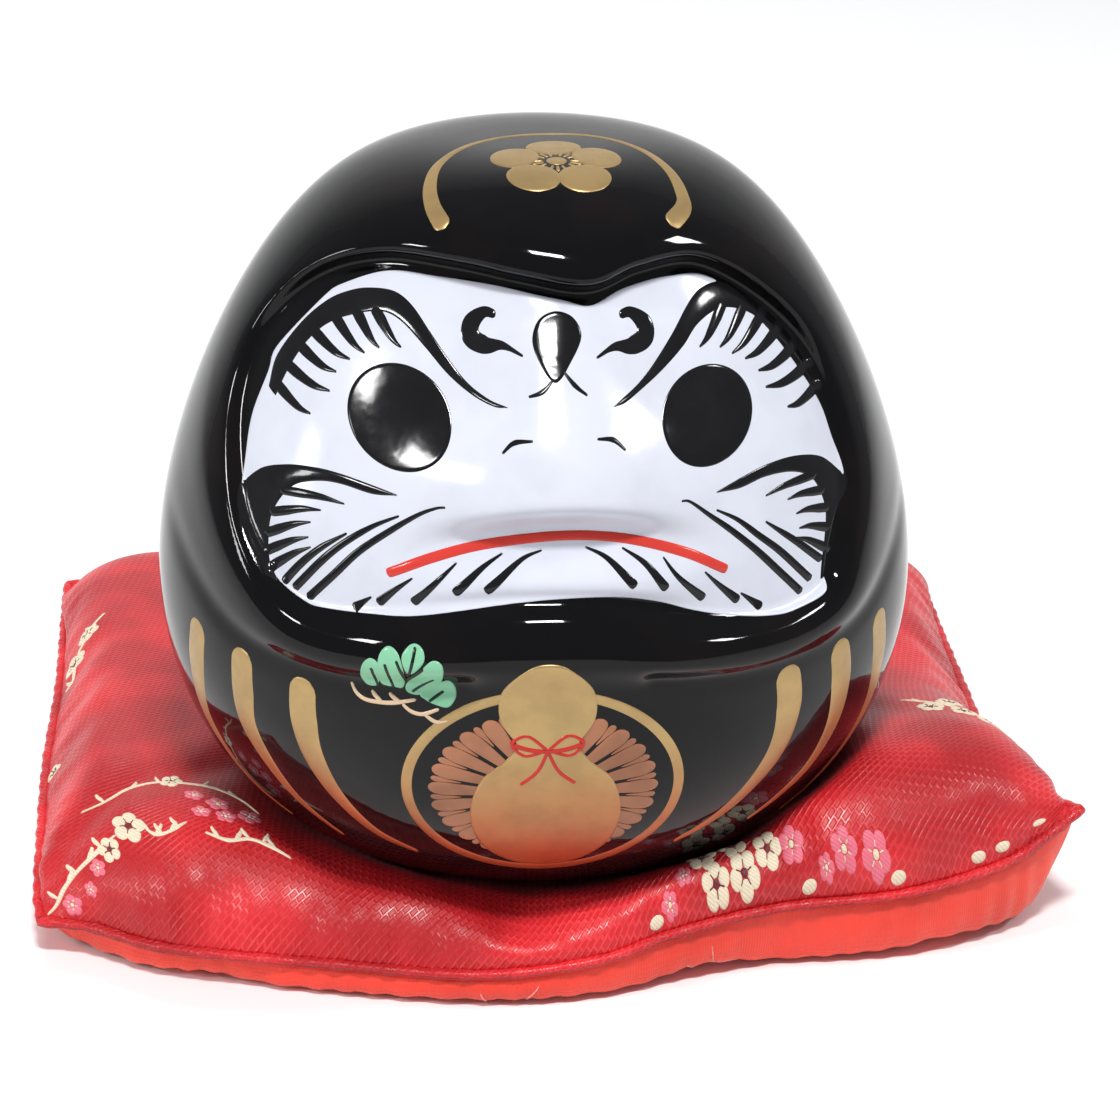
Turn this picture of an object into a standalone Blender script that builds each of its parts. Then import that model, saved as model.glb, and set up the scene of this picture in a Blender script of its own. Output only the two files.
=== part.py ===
"""A glazed ceramic daruma doll on a stuffed brocade cushion.

Metres, +Z up, the doll faces -Y. The origin is on the table, at the middle of the whole object's footprint.
"""

import math

import bmesh
import bpy
import numpy as np

# Driving dimensions of the doll
DOLL_RADIUS = 0.0650
DOLL_DEPTH = 0.93  # depth over width
DOLL_Y = -0.0225  # the doll sits forward of the cushion's middle
WIDEST_Z = 0.0597
FOOT_Z = 0.0113  # the foot ring's plane, where the doll rests on the cushion
HEAD_CENTRE_Z = 0.0800
HEAD_HEIGHT = 0.0545  # from the head's centre to the crown
HEAD_TAPER = 0.235
HEAD_POWER = 4  # the head's section is a superellipse: radius to this power
BELLY_DROP = 0.0510  # from the widest level to where the belly's curve would close
BELLY_POWER = 3
FOOT_OUTER_RADIUS = 0.0300
FOOT_INNER_RADIUS = 0.0255  # the base is open inside the foot ring
WALL = 0.0045
EDGE_MARGIN = 0.0020  # the inner rows stop this far under the crown's inside
CROWN_DIMPLE = 0.0003
CROWN_SHARE = 0.55  # where the dimple starts, as a share of the last inner radius
SCREW_STEPS = 56
HEAD_ROWS = 15
BELLY_ROWS = 9
ROW_SPREAD = 0.9  # the head's rows draw together towards the crown
FRONT_SHARE = 0.35  # the relief fades out where the surface faces this far round from the front
SMOOTH_ANGLE = math.radians(50)  # sharper edges than this stay sharp

# The face opening and its relief
FACE_HALF_WIDTH = 0.0490
FACE_HALF_HEIGHT = 0.0260
FACE_MID_Z = 0.0950
FACE_DEPTH = 0.0045
FACE_POWER = 3
FACE_RIM = 1.10  # where the rim starts to sink, as a share of the opening's half width
FACE_RIM_WIDTH = 0.20
MUZZLE_HEIGHT = 0.0050
MUZZLE_Z = 0.0950
MUZZLE_SPREAD_X = 0.0160
MUZZLE_SPREAD_Z = 0.0120
HOOD_ROLL = 0.0012
HOOD_ROLL_AT = 1.22
HOOD_ROLL_WIDTH = 0.12
RELIEF_FROM_Z = 0.0313  # the belly below this is plain

# The cushion
CUSHION_HALF_WIDTH = 0.0890
FRONT_EDGE_Y = -0.0765
FRONT_BOW = 0.0230  # how far the front corners lie behind the middle of the front edge
BACK_EDGE_Y = DOLL_RADIUS * DOLL_DEPTH - DOLL_Y  # level with the doll's belly in front, about the origin
BACK_BOW = 0.0080
SIDE_WAIST = 0.0040
SEAM_Z = 0.0075
BACK_SEAM_RISE = 0.0060
CORNER_LIFT = 0.0120  # the front right corner curls up
CROWN = 0.0270
CROWN_POWER = 0.45  # the smaller it is, the steeper the cushion's sides
RESTING_SHARE = 0.30  # the smaller it is, the more of the underside lies flat
FABRIC = 0.0010
FABRIC_GAP = 0.0003
DOLL_CLEARANCE = 0.0005
PRESS_MARGIN = 0.0050  # the dent is this much wider than the doll, so its flat facets stay clear of the glaze
CUSHION_CELLS = 20
WADDING_INSET = 1  # cells between the wadding's outline and the seam


def material(name, colour, roughness, metallic=0.0):
    """A plain Principled material."""
    made = bpy.data.materials.new(name)
    made.use_nodes = True
    shader = made.node_tree.nodes["Principled BSDF"]
    shader.inputs["Base Color"].default_value = (*colour, 1.0)
    shader.inputs["Roughness"].default_value = roughness
    shader.inputs["Metallic"].default_value = metallic
    return made


def collection(name):
    made = bpy.data.collections.new(name)
    bpy.context.scene.collection.children.link(made)
    return made


def add_object(name, mesh, home, surface, location=(0.0, 0.0, 0.0)):
    """One named object with one material, linked to its collection."""
    made = bpy.data.objects.new(name, mesh)
    made.location = location
    mesh.materials.append(surface)
    home.objects.link(made)
    return made


def body_radius(z):
    """The outer radius at a height: a tapered superellipse above the widest level, a fuller one below."""
    z = np.asarray(z)
    t = np.clip((z - HEAD_CENTRE_Z) / HEAD_HEIGHT, -1.0, 1.0)
    head = (1 - t * t) ** (1 / HEAD_POWER) * (1 - HEAD_TAPER * t)
    t_wide = (WIDEST_Z - HEAD_CENTRE_Z) / HEAD_HEIGHT
    head /= (1 - t_wide**2) ** (1 / HEAD_POWER) * (1 - HEAD_TAPER * t_wide)
    s = np.clip((WIDEST_Z - z) / BELLY_DROP, 0.0, 1.0)
    belly = (1 - s * s) ** (1 / BELLY_POWER)
    return DOLL_RADIUS * np.where(z >= WIDEST_Z, head, belly)


def underside_height(radius):
    """The height of the doll's underside over a point of the cushion this far from the doll's axis."""
    share = np.clip(radius / DOLL_RADIUS, 0.0, 1.0)
    belly = WIDEST_Z - BELLY_DROP * np.sqrt(1 - share**BELLY_POWER)
    return np.maximum(belly, FOOT_Z)


def smooth_step(value):
    value = np.clip(value, 0.0, 1.0)
    return value * value * (3 - 2 * value)


def face_relief(x, z):
    """How far the front lies behind the turned body: the sunk face, less the muzzle and the hood's roll."""
    across = np.abs(x) / FACE_HALF_WIDTH
    up = np.abs(z - FACE_MID_Z) / FACE_HALF_HEIGHT
    reach = (across**FACE_POWER + up**FACE_POWER) ** (1 / FACE_POWER)
    sunk = FACE_DEPTH * smooth_step((FACE_RIM - reach) / FACE_RIM_WIDTH)
    muzzle = MUZZLE_HEIGHT * np.exp(-((x / MUZZLE_SPREAD_X) ** 2) - ((z - MUZZLE_Z) / MUZZLE_SPREAD_Z) ** 2)
    roll = HOOD_ROLL * np.exp(-(((reach - HOOD_ROLL_AT) / HOOD_ROLL_WIDTH) ** 2))
    return sunk - muzzle - roll


def screw_object(name, profile, home, surface, location=(0.0, 0.0, 0.0)):
    """A profile of (radius, height) points turned about Z, from the top down the outer side."""
    mesh = bpy.data.meshes.new(name)
    edges = [(i, i + 1) for i in range(len(profile) - 1)]
    mesh.from_pydata([(r, 0.0, z) for r, z in profile], edges, [])
    made = add_object(name, mesh, home, surface, location)
    screw = made.modifiers.new("turn", "SCREW")
    screw.steps = SCREW_STEPS
    screw.render_steps = SCREW_STEPS
    screw.use_merge_vertices = True
    screw.merge_threshold = 0.00001  # joins the two poles only
    return made


def as_mesh(source):
    """The object again with its modifiers applied to its mesh, in the same place."""
    graph = bpy.context.evaluated_depsgraph_get()
    source.data = bpy.data.meshes.new_from_object(source.evaluated_get(graph))
    source.modifiers.clear()
    return source


def shell_profile():
    """Crown to foot down the outside, across the foot ring, and up along the inside, back to the axis."""
    crown_z = HEAD_CENTRE_Z + HEAD_HEIGHT
    angles = np.linspace(0.0, math.pi / 2, HEAD_ROWS)
    heights = list(WIDEST_Z + (crown_z - WIDEST_Z) * np.cos(angles) ** ROW_SPREAD)
    foot_angle = math.asin((WIDEST_Z - FOOT_Z) / BELLY_DROP)
    heights += list(WIDEST_Z - BELLY_DROP * np.sin(np.linspace(0, foot_angle, BELLY_ROWS)[1:]))
    outer = [(float(body_radius(z)), float(z)) for z in heights]
    outer[0] = (0.0, crown_z)
    outer[-1] = (FOOT_OUTER_RADIUS, FOOT_Z)
    inside_z = crown_z - WALL
    inner_heights = [z for z in heights[::-1] if FOOT_Z + WALL / 2 < z < inside_z - EDGE_MARGIN]
    inner = [(float(body_radius(z)) - WALL, float(z)) for z in inner_heights]
    inner.insert(0, (FOOT_INNER_RADIUS, FOOT_Z))
    inner.append((inner[-1][0] * CROWN_SHARE, inside_z - CROWN_DIMPLE))
    inner.append((0.0, inside_z))
    return outer + inner


def press_face(shell):
    """Moves the shell's front back by the face's relief, and narrows the turned body to its depth."""
    mesh = shell.data
    points = np.empty(len(mesh.vertices) * 3)
    mesh.vertices.foreach_get("co", points)
    points = points.reshape(-1, 3)
    x, y, z = points.T
    radius = np.hypot(x, y)
    frontness = smooth_step(-y / np.maximum(radius, WALL / 100) / FRONT_SHARE)
    shift = face_relief(x, z) * frontness * (z > RELIEF_FROM_Z)
    points[:, 1] = y * DOLL_DEPTH + shift
    mesh.vertices.foreach_set("co", points.ravel())
    mesh.update()


def ceramic_shell(home):
    glaze = material("black glaze", (0.010, 0.010, 0.012), 0.08)
    shell = screw_object("ceramic_shell", shell_profile(), home, glaze, (0.0, DOLL_Y, 0.0))
    as_mesh(shell)
    press_face(shell)
    shell.data.shade_smooth()
    shell.data.set_sharp_from_angle(angle=SMOOTH_ANGLE)
    return shell


def cushion_plan(u, v):
    """Where a point of the cushion lies in plan. u and v run from -1 to 1 across and back."""
    x = u * (CUSHION_HALF_WIDTH - SIDE_WAIST * (1 - v * v))
    front = FRONT_EDGE_Y + FRONT_BOW * u * u
    back = BACK_EDGE_Y - BACK_BOW * u * u
    return x, front + (back - front) * (v + 1) / 2


def seam_height(u, v):
    lift = CORNER_LIFT * ((1 + u) / 2) ** 4 * ((1 - v) / 2) ** 4
    return SEAM_Z + BACK_SEAM_RISE * (v + 1) / 2 + lift


def cushion_top(u, v):
    """The stuffed top: it swells from the seam, and is pressed down under the doll."""
    x, y = cushion_plan(u, v)
    swell = np.clip((1 - u * u) * (1 - v * v), 0.0, 1.0) ** CROWN_POWER
    free = seam_height(u, v) + FABRIC + CROWN * swell
    radius = np.hypot(x, (y - DOLL_Y) / DOLL_DEPTH)
    pressed = underside_height(radius - PRESS_MARGIN) - DOLL_CLEARANCE
    return np.minimum(free, pressed)


def cushion_bottom(u, v):
    """The underside: flat on the table, and curving up to the seam at the edges."""
    inward = np.clip((1 - u * u) * (1 - v * v) / RESTING_SHARE, 0.0, 1.0)
    return (seam_height(u, v) - FABRIC) * (1 - smooth_step(inward))


def slab(name, lower, upper, inset, home, surface):
    """A closed slab between two height surfaces over the cushion's outline, drawn in by some cells."""
    shape = bmesh.new()
    cells = CUSHION_CELLS - 2 * inset
    share = cells / CUSHION_CELLS
    for height in (lower, upper):
        made = bmesh.ops.create_grid(shape, x_segments=cells, y_segments=cells, size=1.0)
        for vertex in made["verts"]:
            u, v = vertex.co.x * share, vertex.co.y * share
            x, y = cushion_plan(u, v)
            vertex.co = (x, y, float(height(u, v)))
    bmesh.ops.bridge_loops(shape, edges=[edge for edge in shape.edges if edge.is_boundary])
    bmesh.ops.recalc_face_normals(shape, faces=shape.faces)
    mesh = bpy.data.meshes.new(name)
    shape.to_mesh(mesh)
    shape.free()
    mesh.shade_smooth()
    mesh.set_sharp_from_angle(angle=SMOOTH_ANGLE)
    return add_object(name, mesh, home, surface)


def cushion(home):
    red = material("red brocade", (0.45, 0.01, 0.02), 0.6)
    orange = material("orange red lining", (0.80, 0.05, 0.02), 0.6)
    white = material("wadding", (0.8, 0.78, 0.72), 0.9)
    half_gap = FABRIC_GAP / 2

    def top_lower(u, v):
        return np.maximum(cushion_top(u, v) - FABRIC, seam_height(u, v) + half_gap)

    def base_upper(u, v):
        return np.minimum(cushion_bottom(u, v) + FABRIC, seam_height(u, v) - half_gap)

    def wadding_upper(u, v):
        return top_lower(u, v) - FABRIC_GAP

    def wadding_lower(u, v):
        return base_upper(u, v) + FABRIC_GAP

    slab("cushion_top_panel", top_lower, cushion_top, 0, home, red)
    slab("cushion_base_panel", cushion_bottom, base_upper, 0, home, orange)
    slab("cushion_wadding", wadding_lower, wadding_upper, WADDING_INSET, home, white)


def main():
    for old in list(bpy.data.objects):
        bpy.data.objects.remove(old, do_unlink=True)
    parts = collection("daruma_doll")
    ceramic_shell(parts)
    cushion(parts)


main()
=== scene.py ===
"""A glazed ceramic daruma doll on a stuffed brocade cushion: its surfaces, finishes, stage and camera."""

import math

import bpy
import numpy as np
from bpy.props import FloatProperty, FloatVectorProperty, PointerProperty
from bpy.types import Operator, Panel, PropertyGroup
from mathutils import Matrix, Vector


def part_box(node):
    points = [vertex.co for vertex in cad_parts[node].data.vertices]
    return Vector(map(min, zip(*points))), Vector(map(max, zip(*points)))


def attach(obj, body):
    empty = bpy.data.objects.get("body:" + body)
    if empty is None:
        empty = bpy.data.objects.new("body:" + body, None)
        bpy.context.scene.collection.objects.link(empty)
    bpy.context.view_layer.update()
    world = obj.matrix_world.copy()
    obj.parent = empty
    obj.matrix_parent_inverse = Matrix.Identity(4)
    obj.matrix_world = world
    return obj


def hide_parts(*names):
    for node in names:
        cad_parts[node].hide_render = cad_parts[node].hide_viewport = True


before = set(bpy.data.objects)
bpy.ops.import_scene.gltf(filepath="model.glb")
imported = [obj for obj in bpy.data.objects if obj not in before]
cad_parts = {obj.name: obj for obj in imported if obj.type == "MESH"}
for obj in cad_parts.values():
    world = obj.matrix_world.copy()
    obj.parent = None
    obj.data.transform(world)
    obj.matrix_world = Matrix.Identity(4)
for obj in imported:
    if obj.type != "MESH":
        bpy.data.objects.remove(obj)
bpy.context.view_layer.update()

bl_info = {
    "name": "Daruma Doll",
    "version": (1, 0, 0),
    "blender": (4, 5, 0),
    "location": "3D View > Sidebar > Daruma",
    "description": "Builds a glazed ceramic daruma doll on a brocade cushion",
    "category": "Add Mesh",
}

# The CAD model's boxes, in metres. The doll's axis, crown and foot follow from them.
SHELL_LOW, SHELL_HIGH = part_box("ceramic_shell")

MM = 0.001
DOLL_RADIUS = (SHELL_HIGH.x - SHELL_LOW.x) / 2
DOLL_DEPTH = 0.93  # how deep the doll is for its width
DOLL_Y = SHELL_HIGH.y - DOLL_RADIUS * DOLL_DEPTH

# The doll's drawing is in millimetres: x across from the doll's axis, z up from the table.
RADIUS = DOLL_RADIUS / MM
CROWN = SHELL_HIGH.z / MM
FOOT = SHELL_LOW.z / MM
WIDEST = 59.7  # the level where the doll is widest
HEAD_CENTRE = 80.0
HEAD_TAPER = 0.235
BELLY_DROP = 51.0  # from the widest level to where the belly's curve would close
FOOT_OUTER = 30.0
FOOT_INNER = 25.5
WALL = 4.5
MAP_STEP = 0.4  # spacing of the relief map
MAP_X = (-66.0, 66.0)
MAP_Z = (8.0, 136.0)


# ---------------------------------------------------------------- plane curves


def spline(four, f):
    """Catmull-Rom: the cubic from the second of four points to the third, at this share of the way."""
    a, b, c, d = four
    return 0.5 * (2 * b + (c - a) * f + (2 * a - 5 * b + 4 * c - d) * f**2 + (3 * b - a - 3 * c + d) * f**3)


def closed_curve(points, count):
    """Evenly numbered points of a smooth closed curve through the given ones: a periodic Catmull-Rom
    spline."""
    points = np.asarray(points, float)
    total = len(points)
    t = np.arange(count) * total / count
    k = np.floor(t).astype(int)
    return spline([points[(k + shift) % total] for shift in (-1, 0, 1, 2)], (t - k)[:, None])


def open_curve(points, count):
    """The same for an open curve: its ends are continued straight on."""
    points = np.asarray(points, float)
    if len(points) == 2:
        return points[0] + (points[1] - points[0]) * np.linspace(0, 1, count)[:, None]
    padded = np.vstack([2 * points[0] - points[1], points, 2 * points[-1] - points[-2]])
    t = np.linspace(0, len(points) - 1, count)
    k = np.minimum(np.floor(t).astype(int), len(points) - 2)
    return spline([padded[k + shift] for shift in range(4)], (t - k)[:, None])


def smooth_step(value):
    """0 up to 0, 1 from 1 on, and between them the cubic that leaves both ends level."""
    value = np.clip(value, 0.0, 1.0)
    return value * value * (3 - 2 * value)


def distance_to(points, curve, closed=False):
    """The distance from each point to a polyline, worked out one segment at a time for all points at once."""
    ends = np.vstack([curve, curve[:1]]) if closed else curve
    best = np.full(len(points), 1e9)
    for start, end in zip(ends[:-1], ends[1:]):
        along = end - start
        share = ((points - start) @ along / max(along @ along, 1e-12)).clip(0, 1)
        best = np.minimum(best, np.linalg.norm(points - start - share[:, None] * along, axis=1))
    return best


def inside(points, curve):
    """True for each point inside a closed polyline: it is crossed an odd number of times by a ray along
    +x."""
    x, z = points.T
    odd = np.zeros(len(points), bool)
    for (x0, z0), (x1, z1) in zip(curve, np.roll(curve, -1, axis=0)):
        crosses = (z0 > z) != (z1 > z)
        meets = x < (x1 - x0) * (z - z0) / (z1 - z0 if z1 != z0 else 1e-12) + x0
        odd ^= crosses & meets
    return odd


# ---------------------------------------------------------------- the doll's surface


def body_radius(z):
    """The turned radius at a height: a tapered superellipse above the widest level, a fuller one below."""
    z = np.asarray(z, float)
    height = CROWN - HEAD_CENTRE
    t = np.clip((z - HEAD_CENTRE) / height, -1.0, 1.0)
    wide = (WIDEST - HEAD_CENTRE) / height
    head = (1 - t * t) ** 0.25 * (1 - HEAD_TAPER * t) / ((1 - wide**2) ** 0.25 * (1 - HEAD_TAPER * wide))
    s = np.clip((WIDEST - z) / BELLY_DROP, 0.0, 1.0)
    return RADIUS * np.where(z >= WIDEST, head, (1 - s * s) ** (1 / 3))


# The rim of the sunk face, as (x, z), clockwise from the dip under the brow
FACE_RIM = (
    (6, 120.5), (14, 122.5), (24, 122.5), (34, 117), (43, 108), (48, 97), (50.5, 86), (49.5, 76), (46, 68.5),
    (36, 66), (22, 68), (8, 72), (-8, 72.5), (-22, 70), (-36, 68), (-44, 70), (-50, 78), (-52, 88), (-51, 99),
    (-46, 110), (-37, 119), (-26, 123.5), (-14, 123.5), (-4, 122),
)
# The crease where the hood ends and the body begins, on the left; it is mirrored for the right
HOOD_CREASE = ((-63, 76), (-57.5, 68), (-51, 62.5), (-42, 60.5), (-30, 60), (-15, 61.5))
# The relief, in mm: how deep the face sinks at the chin, and how much more at the brow
SUNK, SUNK_MORE = 3.2, 3.6
RIM_ROLL, RIM_ROLL_AT, RIM_ROLL_SPREAD = 1.5, 4.2, 3.6
MUZZLE_HALF_WIDTH = (7.0, 12.5)  # at its top, and how much more lower down
MUZZLE_HEIGHT = (1.2, 6.0)  # the same for how far it swells
MUZZLE_POWER = 2.6
MUZZLE_STEP, MUZZLE_UNDER = 84.6, 6.5  # where its underside starts, and over what height it runs up
CHIN_ROLLS = ((2.0, 24, 76.5), (1.8, 34, 65.5))  # height, half width and level
CHIN_SPREAD = 4.0
CREASE_DEPTH, CREASE_SPREAD = 1.1, 2.0


def relief_map():
    """How far each point of the front lies behind the turned body, in mm, over a grid of x and z.

    The face is sunk inside its rim, deepest under the brow. A roll runs round the rim, a pear-shaped muzzle
    swells down the middle and stops at a step over the mouth, and a chin roll and a crease lie below.
    """
    xs = np.arange(MAP_X[0], MAP_X[1] + MAP_STEP, MAP_STEP)
    zs = np.arange(MAP_Z[0], MAP_Z[1] + MAP_STEP, MAP_STEP)
    x, z = np.meshgrid(xs, zs, indexing="ij")
    points = np.stack([x.ravel(), z.ravel()], 1)
    rim = closed_curve(FACE_RIM, 160)
    into = (distance_to(points, rim, True) * np.where(inside(points, rim), 1, -1)).reshape(x.shape)
    depth = SUNK + SUNK_MORE * np.clip((z - 70) / 50, 0, 1) ** 1.4
    sunk = depth * smooth_step((into + 0.6) / 3.6)
    roll = RIM_ROLL * np.exp(-(((into + RIM_ROLL_AT) / RIM_ROLL_SPREAD) ** 2))
    width = MUZZLE_HALF_WIDTH[0] + MUZZLE_HALF_WIDTH[1] * smooth_step((112 - z) / 24)
    height = MUZZLE_HEIGHT[0] + MUZZLE_HEIGHT[1] * smooth_step((116 - z) / 24)
    under = smooth_step((z - MUZZLE_STEP + 0.009 * x * x) / MUZZLE_UNDER)
    muzzle = height * np.exp(-(np.abs(x / width) ** MUZZLE_POWER)) * under
    chin_up, chin_roll = (
        high * np.exp(-((x / half) ** 4) - ((z - level) / CHIN_SPREAD) ** 2)
        for high, half, level in CHIN_ROLLS
    )
    folds = [distance_to(points * (side, 1), open_curve(HOOD_CREASE, 60)) for side in (1, -1)]
    crease = sum(CREASE_DEPTH * np.exp(-((fold / CREASE_SPREAD) ** 2)) for fold in folds).reshape(x.shape)
    inner = smooth_step(into / 5)
    relief = sunk - roll - muzzle * inner - chin_up * inner - chin_roll + crease
    for _ in range(3):
        relief[1:-1] = (relief[:-2] + 2 * relief[1:-1] + relief[2:]) / 4
        relief[:, 1:-1] = (relief[:, :-2] + 2 * relief[:, 1:-1] + relief[:, 2:]) / 4
    return relief


RELIEF = relief_map()


def relief_at(x, z):
    """The relief map between its points, by bilinear interpolation."""
    i = np.clip((np.asarray(x, float) - MAP_X[0]) / MAP_STEP, 0, RELIEF.shape[0] - 1.001)
    j = np.clip((np.asarray(z, float) - MAP_Z[0]) / MAP_STEP, 0, RELIEF.shape[1] - 1.001)
    i0, j0 = i.astype(int), j.astype(int)
    u, v = i - i0, j - j0
    low = RELIEF[i0, j0] * (1 - u) + RELIEF[i0 + 1, j0] * u
    high = RELIEF[i0, j0 + 1] * (1 - u) + RELIEF[i0 + 1, j0 + 1] * u
    return low * (1 - v) + high * v


def turned_point(angle, radius, z):
    """A point of the doll, in mm about its axis: a turned profile, flattened, with the relief on its
    front."""
    x = radius * np.sin(angle)
    front = smooth_step(np.cos(angle) / 0.35)
    y = -DOLL_DEPTH * radius * np.cos(angle) + relief_at(x, z) * front
    return np.stack(np.broadcast_arrays(x, y, z), -1)


def from_front(places):
    """The doll's front surface at (x, z)."""
    x, z = np.moveaxis(np.asarray(places, float), -1, 0)
    radius = body_radius(z)
    return turned_point(np.arcsin(np.clip(x / radius, -0.9999, 0.9999)), radius, z)


def from_side(places):
    """The doll's surface at (arc, z): the arc is measured round the widest level from the front."""
    arc, z = np.moveaxis(np.asarray(places, float), -1, 0)
    return turned_point(arc / RADIUS, body_radius(z), z)


CROWN_LEVELS = CROWN - (CROWN - WIDEST) * np.linspace(0, 1, 4000) ** 2.5


def from_above(places):
    """The crown's surface over (x, y) in plan: the height where the turned radius is the plan's radius."""
    x, y = np.moveaxis(np.asarray(places, float), -1, 0)
    radius = np.hypot(x, y / DOLL_DEPTH)
    z = np.interp(radius, body_radius(CROWN_LEVELS), CROWN_LEVELS)
    return turned_point(np.arctan2(x, -y / DOLL_DEPTH), radius, z)


def raised(chart, places, height):
    """Points of a chart lifted off the surface along its normal, which comes from the chart's own slopes."""
    step = 0.05
    here = chart(places)
    across = chart(places + np.array((step, 0.0))) - chart(places - np.array((step, 0.0)))
    up = chart(places + np.array((0.0, step))) - chart(places - np.array((0.0, step)))
    normal = np.cross(across, up)
    normal /= np.maximum(np.linalg.norm(normal, axis=-1, keepdims=True), 1e-12)
    return here + normal * np.asarray(height)[..., None]


# ---------------------------------------------------------------- meshes


def grid_faces(rows, columns, closed=False):
    """Quads of a grid of points, with its last column joined to its first when closed."""
    i, j = np.meshgrid(np.arange(rows - 1), np.arange(columns if closed else columns - 1), indexing="ij")
    after = (j + 1) % columns
    corners = (i * columns + j, i * columns + after, (i + 1) * columns + after, (i + 1) * columns + j)
    return np.stack(corners, -1).reshape(-1, 4)


def fan_faces(centre, ring, flip=False):
    """Triangles from one point to a closed ring of points."""
    after = np.roll(ring, -1)
    order = (after, ring) if flip else (ring, after)
    return np.stack([np.full(len(ring), centre), *order], -1)


def plain_object(name, points, faces):
    """A mesh object in the scene, from points in metres and blocks of faces."""
    mesh = bpy.data.meshes.new(name)
    rows = [tuple(row) for block in faces for row in np.asarray(block).tolist()]
    mesh.from_pydata(np.asarray(points, float).reshape(-1, 3).tolist(), [], rows)
    made = bpy.data.objects.new(name, mesh)
    bpy.context.scene.collection.objects.link(made)
    return made


UV_UNIT = 100.0  # mm of cloth for one unit of its UV map


def add_piece(name, points, faces, body, finish, flat=None):
    """A finished piece riding on a body. points are in metres, and flat is a cloth's own coordinates, in
    mm."""
    piece = plain_object(name, points, faces)
    mesh = piece.data
    if flat is not None:
        corners = np.empty(len(mesh.loops), int)
        mesh.loops.foreach_get("vertex_index", corners)
        mesh.uv_layers.new(name="cloth").data.foreach_set("uv", (flat[corners] / UV_UNIT).ravel())
    mesh.validate()
    mesh.shade_smooth()
    mesh.materials.append(finish)
    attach(piece, body)
    return piece


def on_doll(points):
    """The doll's own millimetres, about its axis, as metres in the row frame."""
    return np.asarray(points, float) * MM + (0.0, DOLL_Y, 0.0)


class Paint:
    """Strokes and patches of one colour laid on a chart of a surface, gathered into one mesh.

    height is how far they stand up, and tuck how far their edges go into the surface, in mm.
    """

    LEAST_END = 0.15  # the smallest radius a stroke's end closes with

    def __init__(self, chart, height, tuck=0.06):
        self.chart = chart
        self.height = height
        self.tuck = tuck
        self.points = []
        self.faces = []
        self.count = 0

    def lay(self, places, lift, faces):
        """Puts a block of places on the surface, each lifted by its own height, its faces turned outwards."""
        points = raised(self.chart, places, lift).reshape(-1, 3)
        flat = np.asarray(places).reshape(-1, 2)
        area = 0.0
        for block in faces:
            one, other = flat[block[:, 1]] - flat[block[:, 0]], flat[block[:, -1]] - flat[block[:, 0]]
            area += (one[:, 0] * other[:, 1] - one[:, 1] * other[:, 0]).sum()
        for block in faces:
            self.faces.append((block if area > 0 else block[:, ::-1]) + self.count)
        self.points.append(points)
        self.count += len(points)

    def band(self, left, right, rows=48, columns=9):
        """A ruled band between two curves. Its height across is a half ellipse, tucked under at the edges."""
        left, right = open_curve(left, rows), open_curve(right, rows)
        across = np.linspace(0, 1, columns)
        places = left[:, None] * (1 - across[:, None]) + right[:, None] * across[:, None]
        dome = np.sqrt(np.clip(4 * across * (1 - across), 0, 1))
        lift = np.broadcast_to(self.height * dome - self.tuck * (1 - dome), (rows, columns))
        self.lay(places, lift, [grid_faces(rows, columns)])

    def stroke(self, points, widths, rows=40, columns=9, round_start=True, round_end=True):
        """A brush stroke: a curve whose half width follows the given widths and closes round at its ends."""
        centre = open_curve(points, rows)
        slope = np.gradient(centre, axis=0)
        length = np.linalg.norm(slope, axis=1)
        side = np.stack([-slope[:, 1], slope[:, 0]], 1) / np.maximum(length, 1e-9)[:, None]
        travelled = np.concatenate([[0], np.cumsum((length[1:] + length[:-1]) / 2)])
        half = np.interp(travelled / travelled[-1], np.linspace(0, 1, len(widths)), np.asarray(widths) / 2)
        shape = np.ones(rows)
        ends = ((round_start, travelled, widths[0]), (round_end, travelled[-1] - travelled, widths[-1]))
        for wanted, away, width in ends:
            if wanted:
                shape *= np.sqrt(1 - (1 - np.clip(away / max(width / 2, self.LEAST_END), 0, 1)) ** 2)
        across = np.linspace(-1, 1, columns)
        places = centre[:, None] - side[:, None] * (half * shape)[:, None, None] * across[:, None]
        dome = np.sqrt(1 - across**2) * np.minimum(shape[:, None] + 0.05, 1)
        self.lay(places, self.height * dome - self.tuck * (1 - dome), [grid_faces(rows, columns)])

    def patch(self, outline, centre, count=96, rows=14, edge=0.6):
        """A filled shape: rings from its centre to its outline, flat inside and rounded off within edge
        mm."""
        rim = closed_curve(outline, count)
        centre = np.asarray(centre, float)
        share = 1 - (1 - np.linspace(0, 1, rows + 1)[1:]) ** 1.5
        places = centre + (rim - centre) * share[:, None, None]
        inward = (1 - share[:, None]) * np.linalg.norm(rim - centre, axis=1)
        dome = np.sqrt(1 - (1 - np.clip(inward / edge, 0, 1)) ** 2)
        lift = self.height * dome - self.tuck * (1 - dome)
        places = np.vstack([centre[None], places.reshape(-1, 2)])
        lift = np.concatenate([[self.height], lift.ravel()])
        rings = grid_faces(rows, count, closed=True) + 1
        self.lay(places, lift, [fan_faces(0, np.arange(1, count + 1), flip=True), rings])

    def disc(self, centre, across, up, count=96, rows=16, turn=0.0):
        """A filled ellipse with half axes across and up, turned by an angle in degrees."""
        angle = np.linspace(0, 2 * math.pi, 24, endpoint=False)
        c, s = math.cos(math.radians(turn)), math.sin(math.radians(turn))
        x, z = across * np.cos(angle), up * np.sin(angle)
        outline = np.stack([centre[0] + x * c - z * s, centre[1] + x * s + z * c], 1)
        self.patch(outline, centre, count, rows)

    def piece(self, name, finish, slot="glaze", body="doll", place=on_doll):
        """The strokes and patches as one piece, placed in the row frame."""
        return add_piece(name, place(np.vstack(self.points)), self.faces, body, finish)


# ---------------------------------------------------------------- materials


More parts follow.
